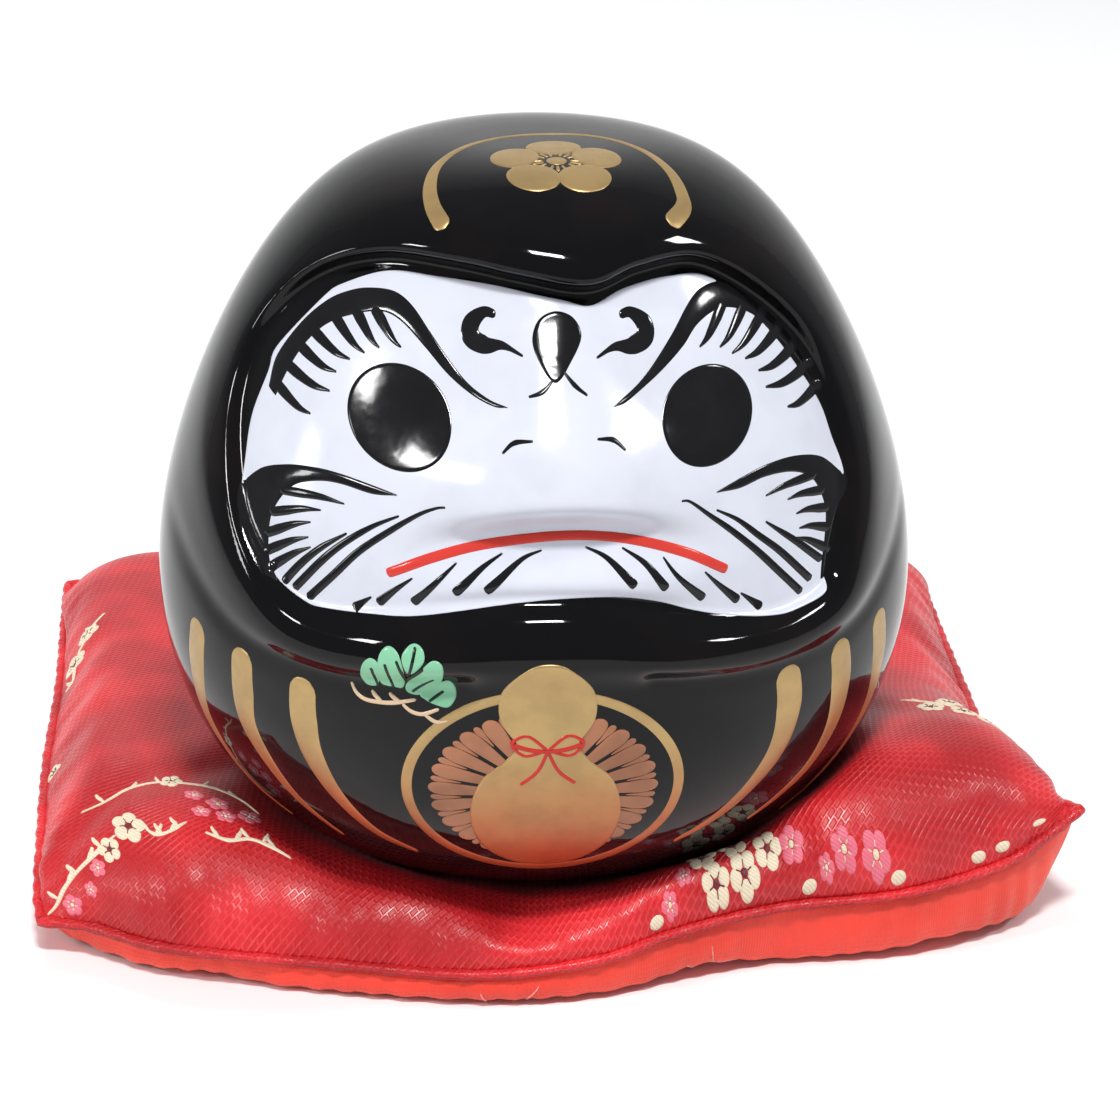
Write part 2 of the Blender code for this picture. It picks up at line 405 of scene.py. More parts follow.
class Socket:
    """A socket of a node tree, with Python's operators for its maths."""

    def __init__(self, tree, socket):
        self.tree = tree
        self.socket = socket

    def node(self, kind, settings=None, values=None, out=0):
        """One output of a new node of this kind, after its settings and its sockets' values or links are
        set."""
        made = self.tree.nodes.new(kind)
        for name, value in (settings or {}).items():
            setattr(made, name, value)
        for name, value in (values or {}).items():
            if isinstance(value, Socket):
                self.tree.links.new(value.socket, made.inputs[name])
            else:
                made.inputs[name].default_value = value
        return Socket(self.tree, made.outputs[out])

    def maths(self, operation, *values):
        """A maths node on these values."""
        return self.node("ShaderNodeMath", {"operation": operation}, dict(enumerate(values)))

    def apply(self, operation):
        """A maths node of one value, on this socket."""
        return self.maths(operation, self)

    def __add__(self, other):
        return self.maths("ADD", self, other)

    def __sub__(self, other):
        return self.maths("SUBTRACT", self, other)

    def __mul__(self, other):
        return self.maths("MULTIPLY", self, other)

    def __rsub__(self, other):
        return self.maths("SUBTRACT", other, self)

    __radd__ = __add__
    __rmul__ = __mul__

    def mix(self, low, high):
        """A colour between two, by this factor."""
        as_colour = [(*c, 1.0) if isinstance(c, tuple) and len(c) == 3 else c for c in (low, high)]
        values = {0: self, 6: as_colour[0], 7: as_colour[1]}
        return self.node("ShaderNodeMix", {"data_type": "RGBA"}, values, out=2)

    def steps(self, low, high):
        """0 below low, 1 above high, and smooth between."""
        values = {0: self, 1: low, 2: high, 3: 0.0, 4: 1.0}
        return self.node("ShaderNodeMapRange", {"interpolation_type": "SMOOTHSTEP"}, values)


class Finish:
    """A Principled material. Uniform values sit on its own sockets, and varying ones are linked."""

    def __init__(self, name, colour=(0.8, 0.8, 0.8), **values):
        self.material = bpy.data.materials.new(name)
        self.material.use_nodes = True
        self.tree = self.material.node_tree
        self.shader = self.tree.nodes["Principled BSDF"]
        self.shader.inputs["Base Color"].default_value = (*colour, 1.0)
        self.material.diffuse_color = (*colour, 1.0)
        for key, value in values.items():
            name = "IOR" if key == "ior" else key.replace("_", " ").title()
            self.shader.inputs[name].default_value = value
        self.start = Socket(self.tree, self.shader.outputs[0])

    def link(self, name, value):
        """Feeds a varying value to one of the shader's sockets."""
        self.tree.links.new(value.socket, self.shader.inputs[name])

    def object_place(self):
        """The place on the object, in metres."""
        return self.start.node("ShaderNodeTexCoord", out="Object")

    def noise(self, place, scale, detail=3.0, roughness=0.55):
        """Cloudy noise from 0 to 1, with this many clouds to the metre."""
        values = {"Vector": place, "Scale": scale, "Detail": detail, "Roughness": roughness}
        return self.start.node("ShaderNodeTexNoise", {}, values)

    def bump(self, height, distance, strength=1.0):
        """Bumps of this height, standing this far up in metres."""
        values = {"Height": height, "Distance": distance, "Strength": strength}
        self.link("Normal", self.start.node("ShaderNodeBump", {}, values))


def scaled(colour, factor):
    """A colour times a factor."""
    return tuple(factor * channel for channel in colour)


def glaze_finish(gloss):
    """Black glaze: a deep gloss with a faint orange peel, and a trace of brown where it pools thin."""
    made = Finish("black_glaze", (0.003, 0.003, 0.004), roughness=0.05, ior=1.26, coat_weight=0.12 * gloss,
                  coat_roughness=0.02)
    place = made.object_place()
    thin = made.noise(place, 55.0, 2.0).steps(0.50, 0.80)
    made.link("Base Color", thin.mix((0.0025, 0.0025, 0.003), (0.007, 0.004, 0.004)))
    made.link("Roughness", made.noise(place, 240.0, 3.0) * 0.05 + 0.025)
    made.bump(made.noise(place, 320.0, 1.0), 0.00005, 0.30)
    return made.material


def enamel_finish(name, colour, shade, roughness=0.14):
    """Painted enamel: glossy, a little uneven in thickness, its colour times shade where it pools."""
    made = Finish(name, colour, roughness=roughness, ior=1.36)
    place = made.object_place()
    made.link("Base Color", made.noise(place, 90.0, 3.0).steps(0.35, 0.75).mix(colour, scaled(colour, shade)))
    made.link("Roughness", made.noise(place, 300.0, 2.0) * 0.10 + (roughness - 0.05))
    made.bump(made.noise(place, 420.0, 1.0), 0.00006, 0.3)
    return made.material


def gold_finish(colour):
    """Gold lustre: metallic, with a fine grain, and with a painted reflection of the red cushion: an orange
    brown towards the foot.
    """
    made = Finish("gold_lustre", colour, roughness=0.36, metallic=0.6)
    place = made.object_place()
    height = place.node("ShaderNodeSeparateXYZ", {}, {0: place}, out=2)
    # Painted reflection: from about 56 mm down to 28 mm above the table the gold turns orange brown (low),
    # standing in for the red cushion mirrored in it
    full = (height + made.noise(place, 90.0, 2.0) * 0.008).steps(0.028, 0.056)
    low = (0.95 * colour[0], 0.27 * colour[1], 0.20 * colour[2])
    cloud = made.noise(place, 130.0, 4.0).steps(0.35, 0.72)
    made.link("Base Color", cloud.mix(full.mix(low, colour),
                                      full.mix(scaled(low, 0.8), scaled(colour, 0.82))))
    made.link("Roughness", made.noise(place, 900.0, 2.0) * 0.22 + 0.26)
    made.bump(made.noise(place, 1500.0, 2.0), 0.00005, 0.5)
    return made.material


def cloth_place(made):
    """The cloth's own flat coordinates, in mm, as two sockets."""
    uv = made.start.node("ShaderNodeUVMap", {"uv_map": "cloth"})
    return tuple(uv.node("ShaderNodeSeparateXYZ", {}, {0: uv}, out=out) * UV_UNIT for out in (0, 1))


def stripes(value, low, high):
    """1 near each whole number of value, 0 half way between, with its edge between low and high."""
    return ((value.apply("FRACT") - 0.5).apply("ABSOLUTE") * 2.0).steps(low, high)


WEAVE_LEAN = math.radians(34)
WEAVE_PITCH = 0.80  # mm from thread to thread


def brocade_finish(ground, thread):
    """Brocade: a slanting brickwork of raised threads on a deep red ground, with a painted sheen: cloudy
    patches where its colours are lighter, standing in for the satin's soft shine.
    """
    made = Finish("red_brocade", ground, roughness=0.40, sheen_weight=0.08, sheen_roughness=0.35,
                  sheen_tint=(1.0, 0.45, 0.50, 1.0))
    a, b = cloth_place(made)
    along = (a * math.cos(WEAVE_LEAN) + b * math.sin(WEAVE_LEAN)) * (1 / WEAVE_PITCH)
    over = (b * math.cos(WEAVE_LEAN) - a * math.sin(WEAVE_LEAN)) * (1 / WEAVE_PITCH)
    shifted = along * 0.5 + over.apply("FLOOR") * 0.5
    lines = stripes(over, 0.50, 0.85)
    ties = stripes(shifted, 0.62, 0.90)
    weave = lines.maths("MAXIMUM", lines, ties * 0.85)
    place = made.object_place()
    # Painted sheen: in the patches both the ground (deep) and the threads (bright) are coloured lighter,
    # standing in for where the satin catches the light
    patch = made.noise(place, 46.0, 2.0).steps(0.40, 0.66)
    worn = made.noise(place, 700.0, 2.0).steps(0.30, 0.62)
    deep = patch.mix(ground, tuple(1.5 * c + 0.004 for c in ground))
    bright = patch.mix(scaled(thread, 0.72), thread)
    fades = made.noise(place, 28.0, 2.0).steps(0.36, 0.60) * 0.65 + 0.25
    made.link("Base Color", (weave * (worn * 0.45 + 0.45) * fades).mix(deep, bright))
    made.link("Roughness", 0.46 - weave * 0.18)
    made.bump(weave + made.noise(place, 1500.0, 1.0) * 0.25, 0.00016, 0.75)
    return made.material


def lining_finish(colour):
    """Plain lining: a fine even weave with a soft shine, a little deeper where it is handled."""
    made = Finish("orange_red_lining", colour, roughness=0.55, sheen_weight=0.30, sheen_roughness=0.5,
                  sheen_tint=(1.0, 0.6, 0.45, 1.0))
    a, b = cloth_place(made)
    ribs = (b * 14.0).apply("SINE") * 0.5 + (a * 14.0).apply("SINE") * 0.5
    place = made.object_place()
    made.link("Base Color", made.noise(place, 70.0, 3.0).steps(0.35, 0.70).mix(colour, scaled(colour, 0.80)))
    made.link("Roughness", made.noise(place, 300.0, 2.0) * 0.12 + 0.48)
    made.bump(ribs + made.noise(place, 160.0, 2.0) * 2.0, 0.00010, 0.5)
    return made.material


def thread_finish(name, colour):
    """Glossy embroidery thread: fine slanting strands with a soft shine."""
    made = Finish(name, colour, roughness=0.48, sheen_weight=0.25, sheen_roughness=0.4)
    place = made.object_place()
    strand = made.start.node("ShaderNodeTexWave", {"wave_type": "BANDS", "bands_direction": "DIAGONAL"},
                             {"Vector": place, "Scale": 640.0, "Distortion": 1.5, "Detail": 1.0}, out="Fac")
    mixed = strand * 0.6 + made.noise(place, 500.0, 2.0) * 0.4
    made.link("Base Color", mixed.mix(scaled(colour, 0.72), colour))
    made.link("Roughness", 0.58 - strand * 0.15)
    made.bump(strand, 0.00008, 0.6)
    return made.material


def wadding_finish():
    """Cotton wadding: matt, cloudy off-white."""
    made = Finish("cotton_wadding", (0.82, 0.79, 0.72), roughness=0.95, sheen_weight=0.3)
    place = made.object_place()
    made.link("Base Color", made.noise(place, 150.0, 4.0).mix((0.70, 0.66, 0.58), (0.86, 0.83, 0.77)))
    made.bump(made.noise(place, 400.0, 3.0), 0.0005, 0.8)
    return made.material


# ---------------------------------------------------------------- the doll


# The white face: its outline as (x, z), clockwise from the dip under the brow
FACE_OUTLINE = (
    (6.5, 116.2), (12, 118), (19.5, 118.8), (27, 117.3), (36.4, 108.4), (44, 97.7), (46.7, 91), (48.7, 84),
    (45.6, 77), (44.2, 72), (44.5, 68.8), (39, 67.6), (34.4, 67.8), (27.8, 69.2), (21.5, 71), (15.2, 73.4),
    (9, 74.7), (0, 74.9), (-9.8, 74), (-22, 71.6), (-28.7, 70.8), (-36.3, 70.2), (-39.8, 70.5), (-44, 72.8),
    (-47.7, 77.3), (-49.7, 82.6), (-48.9, 88.8), (-47.6, 95.3), (-44.8, 102), (-43.1, 106), (-35.8, 114),
    (-32, 116.8), (-25, 119.5), (-17.5, 119.6), (-8, 118.9), (1.5, 117.3),
)
# Each brow and moustache is a crescent between two edges, with teeth as (root, tip)
LEFT_BROW = (
    ((-44.8, 100.2), (-43.4, 104.8), (-39.2, 110.4), (-34.9, 114.3), (-31.5, 116.2), (-28.2, 117.2),
     (-24.1, 117.3),
     (-21.3, 115.7), (-18.7, 112.4), (-16.2, 109.1), (-13.4, 105.9), (-10.4, 104.1), (-7.4, 103.3)),
    ((-43.4, 99), (-41.6, 102.4), (-39.5, 105.8), (-37.1, 108.7), (-34.3, 110.9), (-30.8, 112.5),
     (-27.4, 113.5),
     (-25.2, 113.5), (-22.9, 112.4), (-19.9, 109.8), (-16.3, 106.3), (-12.7, 104), (-9.4, 103),
     (-7.3, 103.2)),
    (((-26.6, 113.4), (-23.4, 109.5)), ((-29.8, 113), (-26.8, 109)), ((-33.2, 111.8), (-29.1, 108)),
     ((-36.8, 109.5), (-31.4, 106.8)), ((-39, 107), (-33.6, 104.7)), ((-41.2, 104), (-34.7, 101.9)),
     ((-42.6, 100.6), (-37.9, 98.1))),
)
RIGHT_BROW = (
    ((9.2, 102.8), (14.2, 105.7), (18.8, 110.8), (21.9, 114.8), (24.5, 116.9), (28.5, 116.9), (33, 113),
     (37.5, 108.5), (41.5, 103.2), (44.5, 97.6)),
    ((9.3, 102.7), (11.5, 102.9), (16.3, 105.3), (21.1, 108.7), (23.9, 111.4), (27.8, 112.8), (31.6, 111.9),
     (34.8, 110), (37.5, 107.6), (40, 104.8), (42.2, 101.6), (43.4, 98)),
    (((27.5, 113), (23.8, 108.6)), ((31.2, 112.2), (27.2, 108)), ((34.4, 110.6), (29.2, 106.8)),
     ((37.2, 108.2), (31.4, 105.7)), ((39.9, 105.2), (33.6, 103.6)), ((42.3, 102), (34.7, 101.1)),
     ((43.6, 98.6), (38.5, 97.4))),
)
LEFT_MOUSTACHE = (
    ((-24.8, 89.3), (-29.6, 90.3), (-33.8, 90.9), (-37.6, 91), (-42.2, 90.4), (-47, 88.4), (-50.4, 84),
     (-49.4, 78.6), (-46.6, 74.4), (-44.2, 72.4)),
    ((-24.8, 89.1), (-28.5, 88.5), (-33.1, 89), (-36.5, 88.8), (-40.1, 87.5), (-42.2, 85.3), (-44, 82),
     (-44.8, 78.4), (-45, 75.2), (-44, 72.6)),
    (((-41.8, 86.2), (-32.8, 86.4)), ((-43.5, 82.8), (-36.6, 84.8)), ((-44.5, 79.6), (-38.3, 82.7)),
     ((-44.9, 76.8), (-38.7, 80.4)), ((-44.6, 74.4), (-38.4, 79))),
)
RIGHT_MOUSTACHE = (
    ((25.6, 88.4), (30.5, 89.8), (35.1, 90.6), (39.7, 90.5), (44.2, 89.2), (47.4, 86.6), (49.3, 84),
     (47, 79), (45.4, 75), (44.4, 70.6)),
    ((25.7, 88.2), (29.6, 87.8), (34, 88.4), (38.6, 87.9), (41.9, 86.2), (43.6, 83.4), (44.4, 80),
     (44.3, 76.5), (43.8, 73), (43.6, 70.4)),
    (((42, 86.4), (33.9, 85.8)), ((43.4, 83.8), (37.8, 84.3)), ((44.2, 81), (39.3, 81.8)),
     ((44.6, 78), (39.8, 79.5)), ((44.4, 75), (39.2, 78.3))),
)
# Long whiskers, root to tip
WHISKERS = (
    ((-43.2, 72.2), (-40.2, 76), (-36.8, 79.3), (-32.6, 82.3)),
    ((-41.6, 71.6), (-36.9, 77.2), (-33.2, 80.7), (-28.8, 83.9), (-24.3, 86.4)),
    ((-39.5, 70.6), (-35.1, 75.4), (-31.1, 79.7), (-26, 83.8), (-21.6, 87), (-18.8, 88.5), (-17.3, 88.9)),
    ((44.1, 73.2), (39.4, 77.6), (33.8, 82.2)), ((42.2, 70.6), (36.7, 76.7), (32.6, 80.4), (29.1, 83.5),
                                                 (25.3, 85.9)),
    ((40.4, 69.2), (37.1, 72.9), (32.5, 77.9), (28.4, 81.8), (24.3, 85.3), (21.1, 88), (19.5, 88.5)),
)
EYES = (((-24.1, 100), 8.2, 7.5, 4), ((24.7, 99.2), 7.8, 7.1, -8))
MOUTH = ((-26.9, 77.1), (-19.8, 80.3), (-11.8, 82.7), (-1.9, 84), (5.9, 83.9), (13, 82.6), (20.8, 79.9),
         (27.4, 76.2))
# Beard strokes, from the thin top to the fat foot
BEARD = (
    ((-2.4, 82.1), (-6, 80.6), (-11.8, 75.9)), ((-8.5, 81.7), (-12.3, 79.2), (-16.6, 75.3)),
    ((-15.7, 80.1), (-18.8, 77.2), (-23, 72.9)),
    ((-22.6, 77.2), (-25.3, 75), (-28.4, 72.1)), ((-29.1, 73.2), (-32.2, 70.8)),
    ((4.1, 82.4), (7.8, 80.5), (12.3, 76.1)),
    ((9.9, 82), (13.9, 79.2), (17.3, 75)), ((16.5, 80.1), (19, 76.8), (23.5, 72.3)),
    ((23.3, 76.9), (26, 74), (29.3, 70.8)),
    ((29.4, 72.2), (33.2, 69)),
)
BROW_DROP = ((0.8, 115.9), (3.6, 114.9), (4.8, 112.3), (3, 109.2), (0.2, 106.5), (-2.2, 109), (-3.2, 112),
             (-2, 114.8))
SWIRLS = (
    ((-8.4, 115), (-10.4, 115.3), (-12.4, 113.7), (-12.4, 111.8), (-10.3, 110.9), (-7.6, 111), (-4.4, 109.8)),
    ((10.8, 114.4), (12.8, 114.7), (14.9, 113), (14.8, 111.1), (12.6, 110.2), (9.9, 110.3), (6.7, 109.1)),
)
TICKS = (
    ((1.4, 108.2), (3.2, 106.2), (5.2, 104.7)), ((0, 107.2), (-1.8, 105.6), (-4.2, 104.8)),
    ((-8.6, 97.4), (-6.6, 99), (-3.6, 99.4)), ((10.8, 97.1), (8.8, 98.8), (6.1, 99.3)),
)
# Gold strokes down the sides, as (arc round the widest level, z), with their widths
GOLD_STROKES = (
    ((-70.5, 61), (-73.5, 51), (-75.5, 42.5), (-73.4, 35.4), (-69.5, 29), (-62, 24.5)),
    ((-57.4, 60), (-58.2, 53), (-58.8, 46), (-56.2, 38.9), (-52.2, 31.5), (-45.7, 25)),
    ((-43.6, 58.5), (-44.3, 51.5), (-43.8, 44.3), (-40.8, 36.2), (-35.5, 29.2), (-27.9, 25.4)),
    ((39.8, 59.3), (41.2, 51.5), (40.4, 43.5), (36.1, 36.1), (30.7, 30.9), (24, 27)),
    ((52.6, 60), (54.4, 52.5), (55, 43.8), (52.4, 36.3), (47.2, 31.2), (41.4, 27.5)),
    ((65.8, 61), (68.6, 51), (69.6, 42), (66.4, 34.5), (61, 29), (54.5, 25)),
)
RING = ((-2.4, 42.0), 21.9, 18.5)
CROWN_ARC = (
    (-16.2, -28.5), (-17.9, -23.6), (-18, -18.5), (-16.2, -12.6), (-11, -5.2), (-4.2, -0.6), (3.4, 0.6),
    (10.8, -1.8),
    (17, -7.8), (21, -14.6), (22.4, -20), (22.2, -23), (19.6, -27.2),
)
CROWN_BLOSSOM = (2.6, -15.0)


def ring_points(centre, across, up, count=49):
    """A closed ellipse as an open list of points that ends where it starts, at its top."""
    angle = np.linspace(math.pi / 2, -1.5 * math.pi, count)
    return np.stack([centre[0] + across * np.cos(angle), centre[1] + up * np.sin(angle)], 1)


def shell_rows(rows):
    """The turned profile as (radius, z): crown to foot down the outside, under the foot ring, and back up
    inside.

    The outer rows are spaced by arc length, twice as closely over the face as elsewhere.
    """
    levels = np.concatenate([CROWN_LEVELS, np.linspace(WIDEST, FOOT, 2000)[1:]])
    radius = body_radius(levels)
    step = np.hypot(np.diff(radius), np.diff(levels)) * np.where((levels[1:] > 60) & (levels[1:] < 127), 2.0,
    1.0)
    travelled = np.concatenate([[0], np.cumsum(step)])
    z = np.interp(np.linspace(0, travelled[-1], rows), travelled, levels)
    outer = np.stack([body_radius(z), z], 1)
    foot = [(FOOT_OUTER - 0.6, FOOT), (FOOT_INNER + 0.8, FOOT), (FOOT_INNER, FOOT + 0.8)]
    inner_z = np.linspace(FOOT + WALL, CROWN - WALL - 3, 30)
    inner = np.stack([body_radius(inner_z) - WALL, inner_z], 1)
    top = [(inner[-1, 0] * 0.7, CROWN - WALL - 0.5), (inner[-1, 0] * 0.35, CROWN - WALL - 0.1)]
    return np.vstack([outer[1:], foot, inner, top])


def build_shell(gloss):
    """The hollow casting as one closed surface, with both poles on the axis."""
    columns = 360
    profile = shell_rows(236)
    turn = np.arange(columns) / columns * 2 * math.pi - math.pi
    angle = turn - 0.42 * np.sin(turn)
    points = turned_point(angle[None, :], profile[:, :1], profile[:, 1:]).reshape(-1, 3)
    count = len(points)
    points = np.vstack([points, [(0, 0, CROWN), (0, 0, CROWN - WALL)]])
    last = np.arange(count - columns, count)
    faces = [grid_faces(len(profile), columns, closed=True)[:, ::-1]]
    faces += [fan_faces(count, np.arange(columns)), fan_faces(count + 1, last, flip=True)]
    shell = add_piece("doll_glazed_shell", on_doll(points), faces, "doll", glaze_finish(gloss))
    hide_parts("ceramic_shell")


def build_face(white):
    """The white enamel that fills the sunk face: rings from its middle out to its outline."""
    face = Paint(from_front, 0.12)
    face.patch(FACE_OUTLINE, (0, 94), count=420, rows=130, edge=0.35)
    face.piece("face_enamel", enamel_finish("white_enamel", white, 0.92))


def crescent(paint, outer, inner, teeth, width, bow):
    """A brow or moustache: a band between its edges, and tapering teeth that start inside it and bow up or
    down."""
    paint.band(outer, inner, rows=80, columns=11)
    for root, tip in np.asarray(teeth, float):
        start = root + (root - tip) * 1.8 / np.linalg.norm(root - tip)
        paint.stroke((start, (root + tip) / 2 + (0, bow), tip), (width, width, width * 0.7, width * 0.15),
                     rows=30)


def build_features(height):
    """Brows, moustaches, eyes, and the marks between them, in black enamel over the white."""
    black = enamel_finish("black_enamel", (0.006, 0.006, 0.007), 1.6, 0.10)
    for side, brow, moustache in (("left", LEFT_BROW, LEFT_MOUSTACHE),
                                  ("right", RIGHT_BROW, RIGHT_MOUSTACHE)):
        paint = Paint(from_front, height)
        crescent(paint, *brow, 2.3, -0.6)
        paint.piece(f"brow_{side}", black)
        paint = Paint(from_front, height)
        crescent(paint, *moustache, 1.8, 0.4)
        for whisker in WHISKERS:
            if (whisker[0][0] < 0) == (side == "left"):
                paint.stroke(whisker, (1.6, 1.5, 1.2, 0.4), rows=48)
        paint.piece(f"moustache_{side}", black)
    for side, (centre, across, up, turn) in zip(("left", "right"), EYES):
        paint = Paint(from_front, height)
        paint.disc(centre, across, up, count=120, rows=30, turn=turn)
        paint.piece(f"eye_{side}", black)
    marks = Paint(from_front, height)
    marks.patch(BROW_DROP, (0.8, 111.8), 64, 14)
    for swirl in SWIRLS:
        marks.stroke(swirl, (1.5, 2.0, 3.2, 3.9, 3.4, 1.9, 0.9, 0.4), rows=60)
    for tick in TICKS:
        marks.stroke(tick, (0.4, 0.9, 0.4), rows=24)
    marks.piece("forehead_marks", black)
    beard = Paint(from_front, height)
    for points in BEARD:
        beard.stroke(points, (0.35, 1.2, 2.1), rows=30)
    beard.piece("beard_strokes", black)


def build_mouth(red):
    """The mouth: one even red line under the muzzle."""
    mouth = Paint(from_front, 0.34)
    mouth.stroke(MOUTH, (1.7, 1.8, 1.8, 1.7), rows=120, columns=11)
    mouth.piece("mouth_line", enamel_finish("red_enamel", red, 0.9))


def build_gold(gold):
    """The gold strokes down the sides, the arc over the crown, and the plum blossom inside it."""
    strokes = Paint(from_side, 0.14)
    for points in GOLD_STROKES:
        strokes.stroke(points, (5.6, 6.2, 5.0, 3.4, 2.2, 1.0), rows=90, columns=13)
    strokes.piece("gold_side_strokes", gold)

    arc = Paint(from_above, 0.14)
    arc.stroke(CROWN_ARC, (2.9, 2.4, 1.5, 1.0, 0.9, 1.0, 1.5, 2.4, 2.9), rows=140, columns=11)
    arc.piece("crown_arc", gold)

    blossom = Paint(from_above, 0.14)
    for petal in range(5):
        angle = math.radians(90 + 72 * petal)
        across = np.array((math.cos(angle), math.sin(angle)))
        centre = np.asarray(CROWN_BLOSSOM) + 7.0 * across
        blossom.disc(centre, 4.6, 4.0, 48, 10, math.degrees(angle) + 90)
        for stamen in (-24, 0, 24):
            lean = angle + math.radians(36 + stamen * 0.8)
            way = np.array((math.cos(lean), math.sin(lean)))
            blossom.stroke((np.asarray(CROWN_BLOSSOM) + 2.2 * way, np.asarray(CROWN_BLOSSOM) + 4.2 * way),
                           (0.5, 0.7), 14)
    blossom.disc(CROWN_BLOSSOM, 1.7, 1.7, 40, 8)
    blossom.piece("crown_blossom", gold)


GOURD = (
    (-2.0, 66.5), (1.4, 65.4), (5.2, 61), (5.6, 56), (3.0, 51.6), (4.6, 48.4), (8.6, 44), (10.2, 37),
    (8.4, 30),
    (3.6, 25.6), (-2.0, 24.4), (-7.6, 25.6), (-12.4, 30), (-14.2, 37), (-12.6, 44), (-8.6, 48.4), (-7, 51.6),
    (-9.6, 56), (-9.2, 61), (-5.4, 65.4),
)


# Half of a petal, as (share of the ring's radius along it, the same across it)
LARGE_PETAL = ((0.30, 0.0), (0.42, -0.038), (0.60, -0.062), (0.74, -0.074), (0.82, -0.056), (0.85, 0.0))
SMALL_PETAL = ((0.60, 0.0), (0.70, -0.018), (0.78, -0.030), (0.82, -0.024), (0.835, 0.0))


def build_medallion(gold, copper):
    """The belly's medallion: a ring, the petals of a chrysanthemum, and a gourd tied with a cord over
    them."""
    centre, across, up = RING
    ring = Paint(from_front, 0.14)
    ring.stroke(ring_points(centre, across, up), (1.9, 1.9), rows=240, columns=9, round_start=False,
                round_end=False)
    ring.piece("medallion_ring", gold)
    petals = Paint(from_front, 0.13)
    for number in range(48):
        angle = math.pi * number / 24
        way = np.array((math.cos(angle) * across, math.sin(angle) * up))
        side = np.array((-math.sin(angle) * across, math.cos(angle) * up))
        half = SMALL_PETAL if number % 2 else LARGE_PETAL
        outline = [centre + way * a + side * b for a, b in (*half, *((a, -b) for a, b in half[-2:0:-1]))]
        petals.patch(outline, centre + way * (half[0][0] + half[-1][0]) / 2, 32, 6, edge=0.3)
    petals.piece("chrysanthemum_petals", copper)
    gourd = Paint(from_front, 0.30)
    gourd.patch(GOURD, (-2.0, 45), 220, 44, edge=0.7)
    gourd.piece("gourd_mark", gold)
    cord = Paint(from_front, 0.46)
    cord.stroke(((-7.6, 51.4), (-4.8, 50.5), (-2, 50.2), (0.8, 50.5), (3.6, 51.4)), (1.2, 1.2), 40)
    cord.stroke(((-2, 50.4), (-5.2, 53), (-7.6, 51.6), (-5.6, 49.4), (-2, 50.4)), (0.8, 0.8), 50)
    cord.stroke(((-2, 50.4), (1.2, 53), (3.6, 51.6), (1.6, 49.4), (-2, 50.4)), (0.8, 0.8), 50)
    cord.stroke(((-2, 50.2), (-3.6, 46.4), (-6.4, 43.6)), (0.8, 0.9, 0.9), 30)
    cord.stroke(((-2, 50.2), (-0.2, 46.4), (2.6, 43.8)), (0.8, 0.9, 0.9), 30)
    cord.piece("gourd_cord", enamel_finish("cord_enamel", (0.50, 0.025, 0.018), 0.85))


# The pine spray: its lobes as (outline, middle), the dark slits between its needles, and its twigs
PINE_LOBES = (
    (((-29.0, 59.5), (-30.4, 59.7), (-31.3, 61.6), (-31.0, 64.1), (-29.8, 65.4), (-28.6, 64.9), (-28.1, 63.2),
      (-28.3, 60.4)),
     (-29.6, 62.2)),
    (((-24.6, 59.9), (-25.8, 59.8), (-28.0, 60.2), (-28.6, 63.1), (-28.4, 66.0), (-27.0, 67.6), (-25.5, 67.0),
      (-24.7, 64.7),
      (-24.3, 61.6)), (-26.4, 63.4)),
    (((-24.1, 63.7), (-24.9, 66.2), (-23.9, 67.9), (-22.6, 68.5), (-21.5, 67.8), (-21.4, 66.1),
      (-23.1, 63.7)), (-23.0, 66.3)),
    (((-24.0, 59.3), (-24.0, 61.0), (-21.6, 65.0), (-20.0, 66.5), (-18.6, 65.9), (-18.4, 63.5), (-19.1, 61.0),
      (-21.9, 59.1)),
     (-20.8, 62.8)),
    (((-22.0, 59.2), (-20.2, 60.6), (-18.6, 62.0), (-17.4, 62.4), (-16.4, 60.9), (-16.4, 59.2), (-17.6, 57.5),
      (-19.5, 57.7),
      (-21.2, 58.4)), (-18.8, 59.9)),
)
PINE_SLITS = (
    ((-29.6, 63.9), (-28.4, 59.6)), ((-27.5, 65.0), (-26.0, 59.7)), ((-25.7, 65.8), (-24.1, 61.6)),
    ((-22.6, 68.1), (-23.8, 63.2)),
    ((-21.5, 65.0), (-24.1, 61.8)), ((-19.8, 62.7), (-23.2, 59.4)), ((-18.2, 60.2), (-20.6, 58.2)),
)
PINE_TWIGS = (
    ((-32.7, 59.6), (-32.0, 58.0), (-30.6, 57.1), (-28.3, 57.0), (-25.9, 57.3), (-22.5, 58.3)),
    ((-29.5, 58.8), (-28.9, 57.9), (-28.0, 57.1)), ((-26.8, 58.8), (-26.1, 58.1), (-25.0, 57.4)),
    ((-24.8, 57.3), (-23.5, 56.2), (-21.6, 55.9), (-19.0, 57.1)),
    ((-21.4, 55.9), (-19.5, 54.7), (-17.6, 55.2)),
)


def build_pine(leaf):
    """A spray of pine at the medallion's shoulder: a fan of green lobes with dark slits, on pale twigs."""
    green, slits, twigs = Paint(from_front, 0.16), Paint(from_front, 0.24, -0.12), Paint(from_front, 0.16)
    for outline, middle in PINE_LOBES:
        green.patch(outline, middle, 64, 10, edge=0.3)
    for slit in PINE_SLITS:
        slits.stroke(slit, (0.55, 0.6, 0.5), 24, 7)
    for twig in PINE_TWIGS:
        twigs.stroke(twig, (0.55, 0.8, 0.8, 0.6), 40, 7)
    green.piece("pine_lobes", enamel_finish("green_enamel", leaf, 0.8))
    slits.piece("pine_slits", enamel_finish("slit_green", (0.001, 0.016, 0.005), 1.3))
    twigs.piece("pine_twigs", enamel_finish("cream_enamel", (0.66, 0.48, 0.32), 0.85))


# ---------------------------------------------------------------- the cushion


